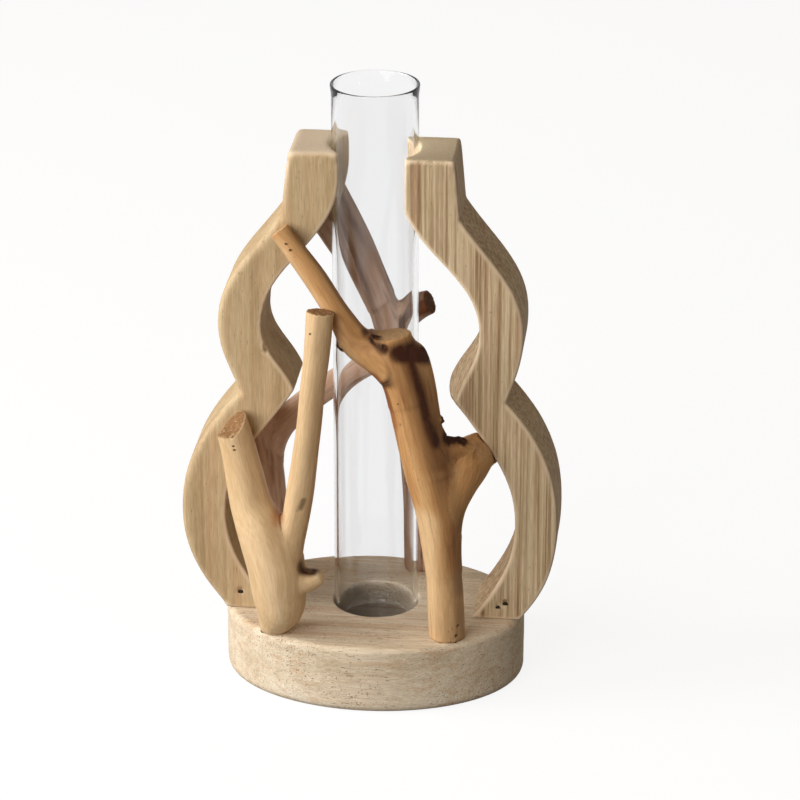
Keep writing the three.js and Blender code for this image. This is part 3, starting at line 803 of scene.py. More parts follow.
class Timber:
    """A wood piece's fine mesh, worked on as arrays and written back to its object."""

    LIFT = 0.5
    SINK = -0.53
    WELD = 0.001 * MM
    COVER = 0.4 * MM
    COVER_MOST = 2.0 * MM
    COVER_DEPTH = 1.5 * MM
    COVER_FADE = (1.4, 2.4)

    def __init__(
        self, node: str, voxel: float, brads: list[Brad], added: tuple[bpy.types.Mesh, ...] = ()
    ) -> None:
        """Copy a node's solid, fill its brad holes and give it an even fine mesh.

        Args:
            node: The CAD node that the piece stands for.
            voxel: Size of the mesh's faces, in metres.
            brads: All brads of the vase.
            added: Wood that the solid leaves out.
        """
        stock = bmesh.new()
        stock.from_mesh(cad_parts[node].data)
        bmesh.ops.remove_doubles(stock, verts=stock.verts, dist=self.WELD)
        tree = BVHTree.FromBMesh(stock)
        self.entering: list[Brad] = []
        self.flush: list[Brad] = []
        for brad in brads:
            run = brad.run_inside(tree, brads)
            if run is None:
                continue
            stock.from_mesh(brad.prism(run[0], run[1], Brad.PLUG_SHARE))
            if run[0] < Brad.SLANT_ROOM:
                self.entering.append(brad)
            if run[0] < Brad.SIDE_ROOM:
                self.flush.append(brad)
        for more in added:
            stock.from_mesh(more)
        mesh = bpy.data.meshes.new(node + "_stock")
        stock.to_mesh(mesh)
        stock.free()
        self.piece = new_object(node + "_wood", mesh)
        remesh = self.piece.modifiers.new("even_mesh", "REMESH")
        remesh.mode = "VOXEL"
        remesh.voxel_size = voxel
        self.apply()

    def apply(self) -> None:
        """Turn the piece's modifiers into its mesh, and read the arrays from it."""
        seen = self.piece.evaluated_get(bpy.context.evaluated_depsgraph_get())
        mesh = bpy.data.meshes.new_from_object(seen)
        self.piece.modifiers.clear()
        self.piece.data = mesh
        self.read()

    def read(self) -> None:
        """Read places, normals and edges from the mesh."""
        mesh = self.piece.data
        self.points = self.rows(mesh.vertices, "co", 3, np.float32).astype(float)
        self.normals = self.rows(mesh.vertex_normals, "vector", 3, np.float32).astype(float)
        self.edges = self.rows(mesh.edges, "vertices", 2, np.int32)

    @staticmethod
    def rows(items: bpy.types.bpy_prop_collection, key: str, width: int, kind: type) -> np.ndarray:
        """Read one value of each item of a mesh, one item a row.

        Args:
            items: The mesh's points or edges.
            key: The value's name.
            width: Numbers in a value.
            kind: Their type.

        Returns:
            The values.
        """
        flat = np.empty(len(items) * width, kind)
        items.foreach_get(key, flat)
        return flat.reshape(-1, width)

    def write(self) -> None:
        """Write the places back to the mesh, and read its new normals."""
        self.piece.data.vertices.foreach_set("co", self.points.astype(np.float32).ravel())
        self.piece.data.update()
        self.read()

    def around(self, values: np.ndarray) -> np.ndarray:
        """Give the mean of each point's neighbours, for one value or more a point.

        Args:
            values: What each point has.

        Returns:
            The means, in the same shape.
        """
        count = len(self.points)
        first, second = self.edges.T
        degree = np.bincount(first, minlength=count) + np.bincount(second, minlength=count)
        columns = values.reshape(count, -1).T
        sums = [
            np.bincount(first, column[second], count) + np.bincount(second, column[first], count)
            for column in columns
        ]
        return (np.array(sums) / np.maximum(degree, 1)).T.reshape(values.shape)

    def smooth(self, rounds: int) -> None:
        """Smooth the surface without shrinking it.

        Args:
            rounds: How often it is smoothed.
        """
        for _ in range(rounds):
            for push in (self.LIFT, self.SINK):
                self.points += push * (self.around(self.points) - self.points)
        self.write()

    def soften(self, weights: np.ndarray, rounds: int) -> None:
        """Wear the surface round where the weights are near 1.

        Args:
            weights: One share from 0 to 1 for each point.
            rounds: How often each point moves towards its neighbours.
        """
        for _ in range(rounds):
            self.points += (weights * self.LIFT)[:, None] * (self.around(self.points) - self.points)
        self.write()

    def sharpness(self) -> np.ndarray:
        """Give how far each point stands proud of its neighbours, in metres: large on an arris.

        Returns:
            One value for each point.
        """
        proud = np.einsum("ij,ij->i", self.points - self.around(self.points), self.normals)
        for _ in range(3):
            proud = self.around(proud)
        return proud

    def punch(self) -> None:
        """Close the wood over the brads' heads, and cut the holes through which they were driven."""
        if not self.entering:
            return
        for brad in self.flush:
            near, reach = self.round_brad(brad)
            low = np.clip(reach + self.COVER, 0, self.COVER_MOST) * (reach < self.COVER_DEPTH)
            self.points -= np.outer(low * (1 - eased(near, *self.COVER_FADE)), brad.inward)
        self.write()
        drill = bmesh.new()
        for brad in self.entering:
            hole = brad.prism(-Brad.RUN_OUT, Brad.HOLE_FLOOR, Brad.HOLE_SHARE, Brad.HOLE_RAGGED)
            drill.from_mesh(hole)
        mesh = bpy.data.meshes.new("punch")
        drill.to_mesh(mesh)
        drill.free()
        cutter = new_object("punch", mesh)
        cut = self.piece.modifiers.new("punch", "BOOLEAN")
        cut.operation = "DIFFERENCE"
        cut.solver = "EXACT"
        cut.object = cutter
        self.apply()
        bpy.data.objects.remove(cutter)

    def hole_shade(self, inner: float = 0.52, outer: float = 0.7) -> np.ndarray:
        """Give 1 inside the punched holes, fading out round them.

        Args:
            inner: Where the fading starts, as a share of the brad's size.
            outer: Where it ends.

        Returns:
            One value for each point.
        """
        shade = np.zeros(len(self.points))
        for brad in self.entering:
            near, reach = self.round_brad(brad)
            depth = np.abs(reach) < Brad.RUN_OUT
            shade = np.maximum(shade, (1 - eased(near, inner, outer)) * depth)
        return shade

    def round_brad(self, brad: Brad) -> tuple[np.ndarray, np.ndarray]:
        """Give each point's distance from a brad's axis, in half sizes, and its depth from the head.

        Args:
            brad: The brad.

        Returns:
            The distances and the depths.
        """
        off = self.points - brad.head
        wide = 2 * (off @ brad.across) / brad.width
        thick = 2 * (off @ brad.aside) / brad.thickness
        return np.hypot(wide, thick), off @ brad.inward


@dataclass(frozen=True)
class Mark:
    """A mark on the wood: a patch round a line between two places, in millimetres.

    A mark with a fold keeps to the crease between two limbs, given by their numbers.
    """

    kind: MarkKind
    start: Place
    end: Place
    radius: float
    rise: float = 0.0
    share: float = 1.0
    fold: tuple[int, ...] = ()
    fold_width: float = 2.0

    CORE, FOLD_CORE = 0.35, 0.15

    def strength(self, points: np.ndarray, gaps: np.ndarray | None = None) -> np.ndarray:
        """Give the mark's share on its line, falling to 0 at its radius.

        Args:
            points: Places in metres.
            gaps: Each limb's gap to each point, for a mark with a fold.

        Returns:
            One value for each point.
        """
        first = np.array(self.start) * MM
        span = np.array(self.end) * MM - first
        length = float(span @ span)
        off = points - first
        share = np.clip(off @ span / length, 0, 1) if length else np.zeros(len(points))
        gap = np.linalg.norm(off - np.outer(share, span), axis=1)
        strength = self.share * (1 - eased(gap / (self.radius * MM), self.CORE, 1.0))
        if self.fold and gaps is not None:
            apart = np.abs(gaps[self.fold[0]] - gaps[self.fold[1]])
            strength *= 1 - eased(apart / (self.fold_width * MM), self.FOLD_CORE, 1.0)
        return strength


def spot(kind: MarkKind, place: Place, radius: float, rise: float = 0.0, share: float = 1.0) -> Mark:
    """Make a round mark."""
    return Mark(kind, place, place, radius, rise, share)


@dataclass(frozen=True)
class Softening:
    """A place that is worn round, in millimetres."""

    place: Place
    radius: float
    rounds: int

    CORE = 0.5

    def work(self, timber: Timber) -> None:
        """Wear the wood round within the radius."""
        apart = np.linalg.norm(timber.points - np.array(self.place) * MM, axis=1)
        timber.soften(1 - eased(apart / (self.radius * MM), self.CORE, 1.0), self.rounds)


class Dressed:
    """What the built pieces share: each stands for a CAD node, rides on a body and has a finish."""

    node: str
    slot: Slot
    finish: SawnFinish | BranchFinish | GlassFinish
    body = Body.STAND

    def dress(self, piece: bpy.types.Object) -> None:
        """Give the piece its finish and tie it to the frame.

        Args:
            piece: The piece's object.
        """
        piece.data.materials.clear()
        piece.data.materials.append(self.finish.material())
        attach(piece, self.body.value)
        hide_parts(self.node)
        LOG.info("%s: %d faces on %s", piece.name, len(piece.data.polygons), self.body.value)


@dataclass
class BaseOval(Dressed):
    """The thick oval base with its blind socket."""

    finish: SawnFinish
    node: str = "base_oval"
    slot: Slot = Slot.BASE
    sides: int = 256
    top_round: float = 2.2 * MM
    heel_round: float = 3.4 * MM
    heel_inset: float = 2.0 * MM
    socket_depth: float = 10.0 * MM
    socket_room: float = 0.4 * MM
    socket_round: float = 0.5 * MM
    swell: float = 0.22 * MM
    round_steps: int = 8
    side_rows: int = 34
    top_rows: int = 30
    floor_shares: tuple[float, ...] = (0.3, 0.6, 0.9, 0.99)
    wall_shares: tuple[float, ...] = (0.01, 0.2, 0.4, 0.6, 0.8, 0.92)
    under_shares: tuple[float, ...] = (0.1, 0.4, 0.8)
    lump: Place = (14 * MM, 14 * MM, 9 * MM)
    dimple: Place = (4 * MM, 4 * MM, 4 * MM)
    lump_share: float = 0.6
    dimple_share: float = 0.25
    flat_share: float = 0.8
    even_rim: Span = (6 * MM, 14 * MM)
    even_heel: Span = (0.02, 0.2)
    # Painted shade inside the socket, and paint that darkens the heel towards the underside.
    socket_shade: float = 0.9
    heel_darkening: float = 0.3
    mouth: Span = (-0.2 * MM, 0.5 * MM)
    mouth_depth: Span = (0.2 * MM, 3 * MM)
    heel_reach: Span = (0.2 * MM, 2.4 * MM)
    socket_steps: int = 4

    def build(self) -> bpy.types.Object:
        """Skin the base from its socket's floor, over the top and side, to the underside.

        Returns:
            The piece's object.
        """
        low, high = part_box(self.node)
        centre = (low + high) / 2
        half = np.array([(high.x - low.x) / 2, (high.y - low.y) / 2])
        circle = turned(self.sides)
        middle = np.array([centre.x, centre.y])
        socket = TUBE_RADIUS + self.socket_room

        def oval(inset: float, level: float) -> np.ndarray:
            """Give the oval's ring at an inset and a level."""
            flat = middle + circle * (half - inset)
            return np.column_stack([flat, np.full(self.sides, level)])

        def round_hole(radius: float, level: float) -> np.ndarray:
            """Give a ring round the tube's axis."""
            return np.column_stack([circle * radius, np.full(self.sides, level)])

        floor = high.z - self.socket_depth
        rings = [round_hole(socket * share, floor) for share in self.floor_shares]
        rings += [round_hole(socket, floor + share * self.socket_depth) for share in self.wall_shares]
        for turn in np.linspace(0, math.pi / 2, self.socket_steps):
            level = high.z - self.socket_round * (1 - math.sin(turn))
            rings.append(round_hole(socket + self.socket_round * (1 - math.cos(turn)), level))
        inner, outer = rings[-1], oval(self.top_round, high.z)
        for share in np.linspace(0, 1, self.top_rows)[1:]:
            rings.append(inner + (outer - inner) * share)
        for turn in np.linspace(0, math.pi / 2, self.round_steps)[1:]:
            inset = self.top_round * (1 - math.sin(turn))
            rings.append(oval(inset, high.z - self.top_round * (1 - math.cos(turn))))
        heel = low.z + self.heel_round
        for share in np.linspace(0, 1, self.side_rows)[1:]:
            rings.append(oval(0, high.z - self.top_round + (heel - high.z + self.top_round) * share))
        for turn in np.linspace(0, math.pi / 2, self.round_steps)[1:]:
            inset = self.heel_inset * (1 - math.cos(turn))
            rings.append(oval(inset, heel - self.heel_round * math.sin(turn)))
        for share in self.under_shares:
            rings.append(oval(self.heel_inset + share * (half[1] - self.heel_inset), low.z))
        piece = new_object("base_oval_wood", mesh_from_rings("base_oval_wood", rings))
        self.wear(piece, low.z, high.z, socket)
        return piece

    def wear(self, piece: bpy.types.Object, bottom: float, top: float, socket: float) -> None:
        """Give the side a hand-sanded unevenness, paint shade into the socket and darken the heel towards the
        underside.

        Args:
            piece: The base's object.
            bottom: Level of the underside.
            top: Level of the top.
            socket: Radius of the socket.
        """
        mesh = piece.data
        points = np.array([vertex.co for vertex in mesh.vertices])
        normals = np.array([vertex.normal for vertex in mesh.vertices])
        outside = eased(np.hypot(points[:, 0], points[:, 1]) - socket, *self.even_rim)
        upright = eased((points[:, 2] - bottom) / (top - bottom), *self.even_heel)
        lumps = ripple(points, self.lump) * self.lump_share + ripple(points, self.dimple) * self.dimple_share
        side = 1 - np.abs(normals[:, 2]) * self.flat_share
        points += normals * (lumps * self.swell * outside * upright * side)[:, None]
        points[:, 2] = np.clip(points[:, 2], bottom, top)
        mesh.vertices.foreach_set("co", points.astype(np.float32).ravel())
        inside = 1 - eased(np.hypot(points[:, 0], points[:, 1]) - socket, *self.mouth)
        depth = eased(top - points[:, 2], *self.mouth_depth)
        heel = 1 - eased(points[:, 2] - bottom, *self.heel_reach)
        # Painted shade in the socket; the heel is painted darker towards the underside.
        painted_darkening = self.socket_shade * inside * depth + self.heel_darkening * heel * (1 - inside)
        paint_layer(mesh, PIT.value, painted_darkening)
        mesh.shade_smooth()


@dataclass
class Board(Dressed):
    """A cut-out board with soft arrises, nail holes and small chips."""

    node: str
    finish: SawnFinish
    slot: Slot = Slot.BOARD
    marks: tuple[Mark, ...] = ()
    voxel: float = 0.55 * MM
    smoothing: int = 7
    wear: float = 0.35
    unevenness: float = 0.07 * MM
    crown_rounds: int = 8
    crown_depth: float = 5.0 * MM
    # Sharpness above which the arrises get their painted highlight with wear.
    worn_from: float = 0.012 * MM
    worn_to: float = 0.04 * MM
    nibble: Place = (1.8 * MM, 1.8 * MM, 4 * MM)
    swell: Place = (7 * MM, 7 * MM, 26 * MM)
    chip: Place = (0.7 * MM, 0.7 * MM, 1.2 * MM)
    hole_margin: Span = (2.0, 2.6)
    nibble_least: float = 0.6
    nibble_range: float = 0.8
    arris_share: float = 4.0
    chip_range: float = 0.5
    chip_shade: float = 0.75
    foot_fade: float = 1.5 * MM
    # Painted shade at the board's foot, where it meets the base.
    foot_shade: float = 0.35
    foot_shade_height: float = 1.2 * MM
    end_depth: Span = (3 * MM, 1.5 * MM)
    end_facing: Span = (0.6, 0.95)

    def build(self, brads: list[Brad]) -> bpy.types.Object:
        """Make the board's fine mesh from its solid, wear its arrises and chip it.

        Args:
            brads: All brads of the vase.

        Returns:
            The piece's object.
        """
        timber = Timber(self.node, self.voxel, brads)
        timber.smooth(self.smoothing)
        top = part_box(self.node)[1].z
        crown = eased(timber.points[:, 2], top - self.crown_depth, top - self.crown_depth / 2)
        timber.soften(crown, self.crown_rounds)
        sharp = timber.sharpness()
        nibbled = self.nibble_least + self.nibble_range * ripple(timber.points, self.nibble)
        push = -self.wear * np.clip(sharp, 0, None) * np.clip(nibbled, 0, None) * self.arris_share
        push += self.unevenness * ripple(timber.points, self.swell)
        for mark in self.marks:
            ragged = 1 + self.chip_range * ripple(timber.points, self.chip)
            push += mark.strength(timber.points) * mark.rise * MM * ragged
        push *= eased(timber.points[:, 2], BASE_TOP, BASE_TOP + self.foot_fade)
        timber.points += timber.normals * push[:, None]
        timber.points[:, 2] = np.maximum(timber.points[:, 2], BASE_TOP)
        timber.write()
        timber.punch()
        # Painted shade inside the brad holes and the chips.
        hole_and_chip_shade = timber.hole_shade()
        for mark in self.marks:
            hole_and_chip_shade = np.maximum(hole_and_chip_shade, self.chip_shade * mark.strength(timber.points))
        # Painted shade in the gap where the foot meets the base.
        painted_darkening = self.foot_shade * (1 - eased(timber.points[:, 2], BASE_TOP, BASE_TOP + self.foot_shade_height))
        paint_layer(timber.piece.data, PIT.value, np.maximum(hole_and_chip_shade, painted_darkening))
        # Paler arrises: a painted highlight along the sharp edges, with wear, kept off the holes.
        worn = eased(timber.sharpness(), self.worn_from, self.worn_to)
        paint_layer(timber.piece.data, PALE.value, worn * (1 - timber.hole_shade(*self.hole_margin)))
        crown = eased(timber.points[:, 2], top - self.end_depth[0], top - self.end_depth[1])
        paint_layer(timber.piece.data, SAWN.value, crown * eased(timber.normals[:, 2], *self.end_facing))
        timber.piece.data.shade_smooth()
        return timber.piece


@dataclass
class Limb:
    """One limb of a branch: a smooth line of stations, each with its own radius.

    A station is (across, out from the boards' face, level above the base, radius), in millimetres.
    A web is a limb that the CAD solid leaves out.
    """

    stations: tuple[Station, ...]
    round_end: bool = False
    web: bool = False
    samples: int = 24
    sides: int = 16
    line: np.ndarray = field(init=False)
    radii: np.ndarray = field(init=False)
    runs: np.ndarray = field(init=False)

    def lay(self, side: int) -> None:
        """Work out the limb's fine line, in front of the boards or behind them.

        Args:
            side: FRONT or REAR.
        """
        table = np.array(self.stations) * MM
        places = np.column_stack([table[:, 0], side * (BOARD_FACE + table[:, 1]), BASE_TOP + table[:, 2]])
        stations = np.column_stack([places, table[:, 3]])
        fine = self.curve(stations)
        if not self.round_end:
            last = fine[-1]
            end = np.concatenate([last[:3] + (last - fine[-2])[:3] * self.samples, last[3:]])
            fine = np.vstack([fine, end])
        self.line, self.radii = fine[:, :3], fine[:, 3]
        lengths = np.linalg.norm(np.diff(self.line, axis=0), axis=1)
        self.runs = np.concatenate([[0], np.cumsum(lengths)])

    def curve(self, stations: np.ndarray) -> np.ndarray:
        """Draw a centripetal curve through the stations.

        Args:
            stations: Places and radii, one a row.

        Returns:
            Fine points with their radii.
        """
        before, after = 2 * stations[0] - stations[1], 2 * stations[-1] - stations[-2]
        knots = np.vstack([before, stations, after])
        steps = np.sqrt(np.linalg.norm(np.diff(knots[:, :3], axis=0), axis=1))
        fine = []
        for i in range(1, len(knots) - 2):
            p0, p1, p2, p3 = knots[i - 1 : i + 3]
            d0, d1, d2 = steps[i - 1 : i + 2]
            lead = ((p1 - p0) / d0 - (p2 - p0) / (d0 + d1) + (p2 - p1) / d1) * d1
            trail = ((p2 - p1) / d1 - (p3 - p1) / (d1 + d2) + (p3 - p2) / d2) * d1
            t = np.linspace(0, 1, self.samples, endpoint=False)[:, None]
            blend = (2 * t**3 - 3 * t**2 + 1) * p1 + (t**3 - 2 * t**2 + t) * lead
            fine.append(blend + (3 * t**2 - 2 * t**3) * p2 + (t**3 - t**2) * trail)
        return np.vstack([*fine, stations[-1:]])

    def stock(self) -> bpy.types.Mesh:
        """Build the limb's own skin as a closed mesh.

        Returns:
            The mesh.
        """
        circle = turned(self.sides)
        ways = np.gradient(self.line, axis=0)
        sides = np.cross(ways, (0, 0, 1))
        sides /= np.linalg.norm(sides, axis=1)[:, None]
        ups = np.cross(sides, ways)
        ups /= np.linalg.norm(ups, axis=1)[:, None]
        rings = [
            place + radius * (np.outer(circle[:, 0], side) + np.outer(circle[:, 1], up))
            for place, radius, side, up in zip(self.line, self.radii, sides, ups)
        ]
        return mesh_from_rings("limb_stock", rings)

    def nearest(self, points: np.ndarray) -> tuple[np.ndarray, np.ndarray, np.ndarray, np.ndarray]:
        """Find the nearest place on the limb's line for each point.

        Args:
            points: Places in metres.

        Returns:
            The gap to the limb's skin, the direction away from its line, the offset from the line
            and the run along it.
        """
        best = np.full(len(points), np.inf)
        middle = np.zeros_like(points)
        run = np.zeros(len(points))
        spans = zip(self.line, self.line[1:], self.radii, self.radii[1:], self.runs, self.runs[1:])
        for a, b, ra, rb, ua, ub in spans:
            along = b - a
            share = np.clip((points - a) @ along / max(float(along @ along), TINY * TINY), 0, 1)
            foot = a + np.outer(share, along)
            gap = np.linalg.norm(points - foot, axis=1) - (ra + (rb - ra) * share)
            closer = gap < best
            best = np.where(closer, gap, best)
            middle = np.where(closer[:, None], foot, middle)
            run = np.where(closer, ua + (ub - ua) * share, run)
        lead = self.line[1] - self.line[0]
        behind = np.clip((self.line[0] - points) @ (lead / np.linalg.norm(lead)), 0, None)
        best += 2 * behind
        offset = points - middle
        away = offset / np.maximum(np.linalg.norm(offset, axis=1, keepdims=True), TINY)
        return best, away, offset, run


@dataclass(frozen=True)
class SawCut:
    """A sawn end: a plane that faces out of the wood, and how far round it the cut shows."""

    place: Place
    facing: Place
    radius: float

    FLAT, DEPTH, RIM = (0.72, 0.9), (1.2 * MM, 2.4 * MM), (0.9, 1.0)

    def strength(self, points: np.ndarray, normals: np.ndarray) -> np.ndarray:
        """Give 1 on the sawn face.

        Args:
            points: Places in metres.
            normals: The wood's directions there.

        Returns:
            One value for each point.
        """
        facing = np.array(self.facing) / np.linalg.norm(self.facing)
        off = points - np.array(self.place) * MM
        level = np.abs(off @ facing)
        apart = np.linalg.norm(off, axis=1)
        flat = eased(normals @ facing, *self.FLAT)
        around = 1 - eased(apart / (self.radius * MM), *self.RIM)
        return flat * (1 - eased(level, *self.DEPTH)) * around


@dataclass(frozen=True)
class Growth:
    """Points measured against a branch's limbs, grown into each other.

    Holds the gap to the grown skin, the direction out of it, the grain's coordinates in millimetres
    (two across the limb and one along it), and the gap to each limb.
    """

    skin: np.ndarray
    out: np.ndarray
    flow: np.ndarray
    gaps: np.ndarray


@dataclass
class Branch(Dressed):
    """A forked branch, barked and nailed on: limbs grown together, sawn ends, knots and bark."""

    node: str
    side: int
    slot: Slot
    finish: BranchFinish
    limbs: tuple[Limb, ...]
    cuts: tuple[SawCut, ...] = ()
    marks: tuple[Mark, ...] = ()
    softenings: tuple[Softening, ...] = ()
    voxel: float = 0.5 * MM
    smoothing: int = 10
    blend: float = 1.2 * MM
    lumps: float = 0.28 * MM
    flutes: float = 0.16 * MM
    foot_ease: float = 0.8 * MM
    rounds: int = 3
    facing_fade: Span = (0.35, 0.7)
    mouth_fade: Span = (2.5, 3.5)
    growth_fade: Span = (3.0 * MM, 4.5 * MM)
    seat_fade: Span = (0.5 * MM, 1.3 * MM)
    torn: float = 0.35 * MM
    tear: Place = (1.1 * MM, 1.1 * MM, 1.1 * MM)
    crust: Place = (0.9 * MM, 0.9 * MM, 1.3 * MM)
    lump: Place = (9, 9, 16)
    flute: Place = (2.6, 2.6, 30)
    rough_fade: Span = (0.4, 0.8)
    crust_range: float = 0.7
    foot_share: float = 0.5
    after_smoothing: int = 2
    limb_shift: float = 40.0

    def grown(self, points: np.ndarray) -> Growth:
        """Measure points against the limbs.

        Args:
            points: Places in metres.

        Returns:
            The measures.
        """
        gaps, aways, flows = [], [], []
        for number, limb in enumerate(self.limbs):
            gap, away, offset, run = limb.nearest(points)
            gaps.append(gap)
            aways.append(away)
            flows.append(np.column_stack([offset[:, 0], offset[:, 1], run]) / MM + self.limb_shift * number)
        gaps = np.array(gaps)
        least = gaps.min(axis=0)
        shares = np.exp(-(gaps - least) / self.blend)
        total = shares.sum(axis=0)
        skin = least - self.blend * np.log(total)
        out = np.einsum("kn,knj->nj", shares / total, np.array(aways))
        out /= np.maximum(np.linalg.norm(out, axis=1, keepdims=True), TINY)
        flow = np.array(flows)[gaps.argmin(axis=0), np.arange(len(points))]
        return Growth(skin, out, flow, gaps)

    def build(self, brads: list[Brad]) -> bpy.types.Object:
        """Make the branch's fine mesh from its solid, round and blend its limbs, and add its marks.

        Args:
            brads: All brads of the vase.

        Returns:
            The piece's object.
        """
        for limb in self.limbs:
            limb.lay(self.side)
        webs = tuple(limb.stock() for limb in self.limbs if limb.web)
        timber = Timber(self.node, self.voxel, brads, webs)
        timber.smooth(self.smoothing)
        for _ in range(self.rounds):
            self.round_off(timber)
            timber.smooth(self.after_smoothing)
        for softening in self.softenings:
            softening.work(timber)
        self.roughen(timber)
        timber.punch()
        self.paint(timber)
        timber.piece.data.shade_smooth()
        return timber.piece

    def off_seats(self, timber: Timber) -> np.ndarray:
        """Give 0 where the branch sits against a board, and 1 away from it.

        Args:
            timber: The branch's mesh.

        Returns:
            One value for each point.
        """
        apart = np.full(len(timber.points), np.inf)
        for node in ("left_board", "right_board"):
            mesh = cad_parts[node].data
            tree = BVHTree.FromPolygons([v.co for v in mesh.vertices], [p.vertices for p in mesh.polygons])
            apart = np.minimum(apart, [tree.find_nearest(place)[3] for place in timber.points.tolist()])
        return eased(apart, *self.seat_fade)

    def round_off(self, timber: Timber) -> None:
        """Move the skin onto the grown limbs, apart from sawn ends and seats.

        Args:
            timber: The branch's mesh.
        """
        growth = self.grown(timber.points)
        facing = np.einsum("ij,ij->i", timber.normals, growth.out)
        share = np.maximum(eased(facing, *self.facing_fade), timber.hole_shade(*self.mouth_fade))
        share *= 1 - eased(np.abs(growth.skin), *self.growth_fade)
        share *= self.off_seats(timber)
        timber.points -= growth.out * (growth.skin * share)[:, None]
        self.keep_clear(timber)
        timber.write()

    def roughen(self, timber: Timber) -> None:
        """Add the lumps and flutes of grown wood, torn sawn ends, knots and bark.

        Args:
            timber: The branch's mesh.
        """
        growth = self.grown(timber.points)
        facing = eased(np.einsum("ij,ij->i", timber.normals, growth.out), *self.rough_fade)
        push = self.lumps * ripple(growth.flow, self.lump) + self.flutes * ripple(growth.flow, self.flute)
        push *= facing
        low = 1 - eased(timber.points[:, 2] - BASE_TOP, 0, self.foot_ease)
        push -= self.foot_share * self.foot_ease * low * facing
        for cut in self.cuts:
            torn = ripple(timber.points, self.tear) * self.torn
            push += cut.strength(timber.points, timber.normals) * torn
        for mark in self.marks:
            crust = 1 + self.crust_range * ripple(timber.points, self.crust)
            push += mark.strength(timber.points, growth.gaps) * mark.rise * MM * crust
        timber.points += timber.normals * push[:, None]
        self.keep_clear(timber)
        timber.write()

    def keep_clear(self, timber: Timber) -> None:
        """Keep the foot on the base and the wood off the tube.

        Args:
            timber: The branch's mesh.
        """
        timber.points[:, 2] = np.maximum(timber.points[:, 2], BASE_TOP)
        room = TUBE_RADIUS + TUBE_ROOM
        apart = np.linalg.norm(timber.points[:, :2], axis=1)
        timber.points[:, :2] *= np.maximum(room / np.maximum(apart, TINY), 1.0)[:, None]

    def paint(self, timber: Timber) -> None:
        """Paint the grain's run, the bark, the stains and pale patches with some painted shade and light, the
        sawn ends and the painted shade of the holes.

        Args:
            timber: The branch's mesh.
        """
        growth = self.grown(timber.points)
        layers = {kind: np.zeros(len(timber.points)) for kind in MarkKind}
        for mark in self.marks:
            shown = mark.strength(timber.points, growth.gaps)
            layers[mark.kind] = np.maximum(layers[mark.kind], shown)
        for cut in self.cuts:
            shown = cut.strength(timber.points, timber.normals)
            layers[SAWN] = np.maximum(layers[SAWN], shown)
        # Painted shade in the punched holes.
        layers[PIT] = np.maximum(layers[PIT], timber.hole_shade())
        for kind, values in layers.items():
            paint_layer(timber.piece.data, kind.value, values)
        paint_layer(timber.piece.data, FLOW, growth.flow)


@dataclass
class GlassTube(Dressed):
    """The clear tube, turned about its axis, with a rounded foot and a fire-polished rim."""

    body = Body.TUBE

    finish: GlassFinish
    node: str = "glass_tube"
    slot: Slot = Slot.GLASS
    sides: int = 128
    wall: float = 1.5 * MM
    heel: float = 3.5 * MM
    flare_height: float = 4.0 * MM
    lip_width: float = 1.0 * MM
    arc_steps: int = 10
    wall_steps: int = 12
    wall_start: float = 0.05
    foot_shares: Span = (0.3, 0.6)

    def profile(self) -> np.ndarray:
        """Give the section's points, from the foot's middle outside to the foot's middle inside.

        Returns:
            Radii and levels, one point a row.
        """
        low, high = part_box(self.node)
        radius, inner = TUBE_RADIUS, TUBE_RADIUS - self.wall
        lip = self.lip_width / 2
        rows = [(radius * share, low.z) for share in self.foot_shares]
        start, turn_in = low.z + self.heel, radius - self.heel
        quarter = np.linspace(-math.pi / 2, 0, self.arc_steps)
        shares = np.linspace(self.wall_start, 1, self.wall_steps)
        height = high.z - self.flare_height - start
        for turn in quarter:
            rows.append((turn_in + self.heel * math.cos(turn), start + self.heel * math.sin(turn)))
        rows += [(radius, start + height * share) for share in shares]
        crest = radius + RIM_FLARE - lip
        for turn in np.linspace(0, math.pi, self.arc_steps):
            rows.append((crest + lip * math.cos(turn), high.z - lip + lip * math.sin(turn)))
        rows += [(inner, start + height * share) for share in shares[::-1]]
        hollow = self.heel - self.wall
        for turn in quarter[::-1]:
            rows.append((turn_in + hollow * math.cos(turn), start + hollow * math.sin(turn)))
        rows += [(inner * share, low.z + self.wall) for share in self.foot_shares[::-1]]
        return np.array(rows)

    def build(self) -> bpy.types.Object:
        """Turn the section about the tube's axis.

        Returns:
            The piece's object.
        """
        circle = turned(self.sides)
        rings = [np.column_stack([circle * r, np.full(self.sides, z)]) for r, z in self.profile()]
        piece = new_object("glass_tube_wall", mesh_from_rings("glass_tube_wall", rings))
        piece.data.shade_smooth()
        piece.visible_shadow = False
        return piece


@dataclass
class Brads:
    """The brads, which keep their CAD shape and get a dulled steel finish."""

    finish: SteelFinish
    name_part: str = "_brad"

    @property
    def names(self) -> list[str]:
        """The names of the brads' nodes."""
        return [name for name in sorted(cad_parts) if self.name_part in name]

    def measure(self) -> list[Brad]:
        """Measure every brad of the frame."""
        return [Brad.from_node(name) for name in self.names]

    def dress(self) -> None:
        """Give each brad its finish."""
        material = self.finish.material()
        for name in self.names:
            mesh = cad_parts[name].data
            mesh.materials.clear()
            mesh.materials.append(material)
            LOG.info("%s: finish", name)


def aim(name: str, data: bpy.types.ID, target: Place, way: Vector, distance: float) -> bpy.types.Object:
    """Hang a lamp or a camera so that it faces a place.

    Args:
        name: The object's name.
        data: The lamp or the camera.
        target: The place that it faces.
        way: The direction from the place to it.
        distance: Its distance from the place.

    Returns:
        The object.
    """
    hung = bpy.data.objects.new(name, data)
    hung.location = Vector(target) + way * distance
    hung.rotation_euler = way.to_track_quat("Z", "Y").to_euler()
    bpy.context.scene.collection.objects.link(hung)
    return hung


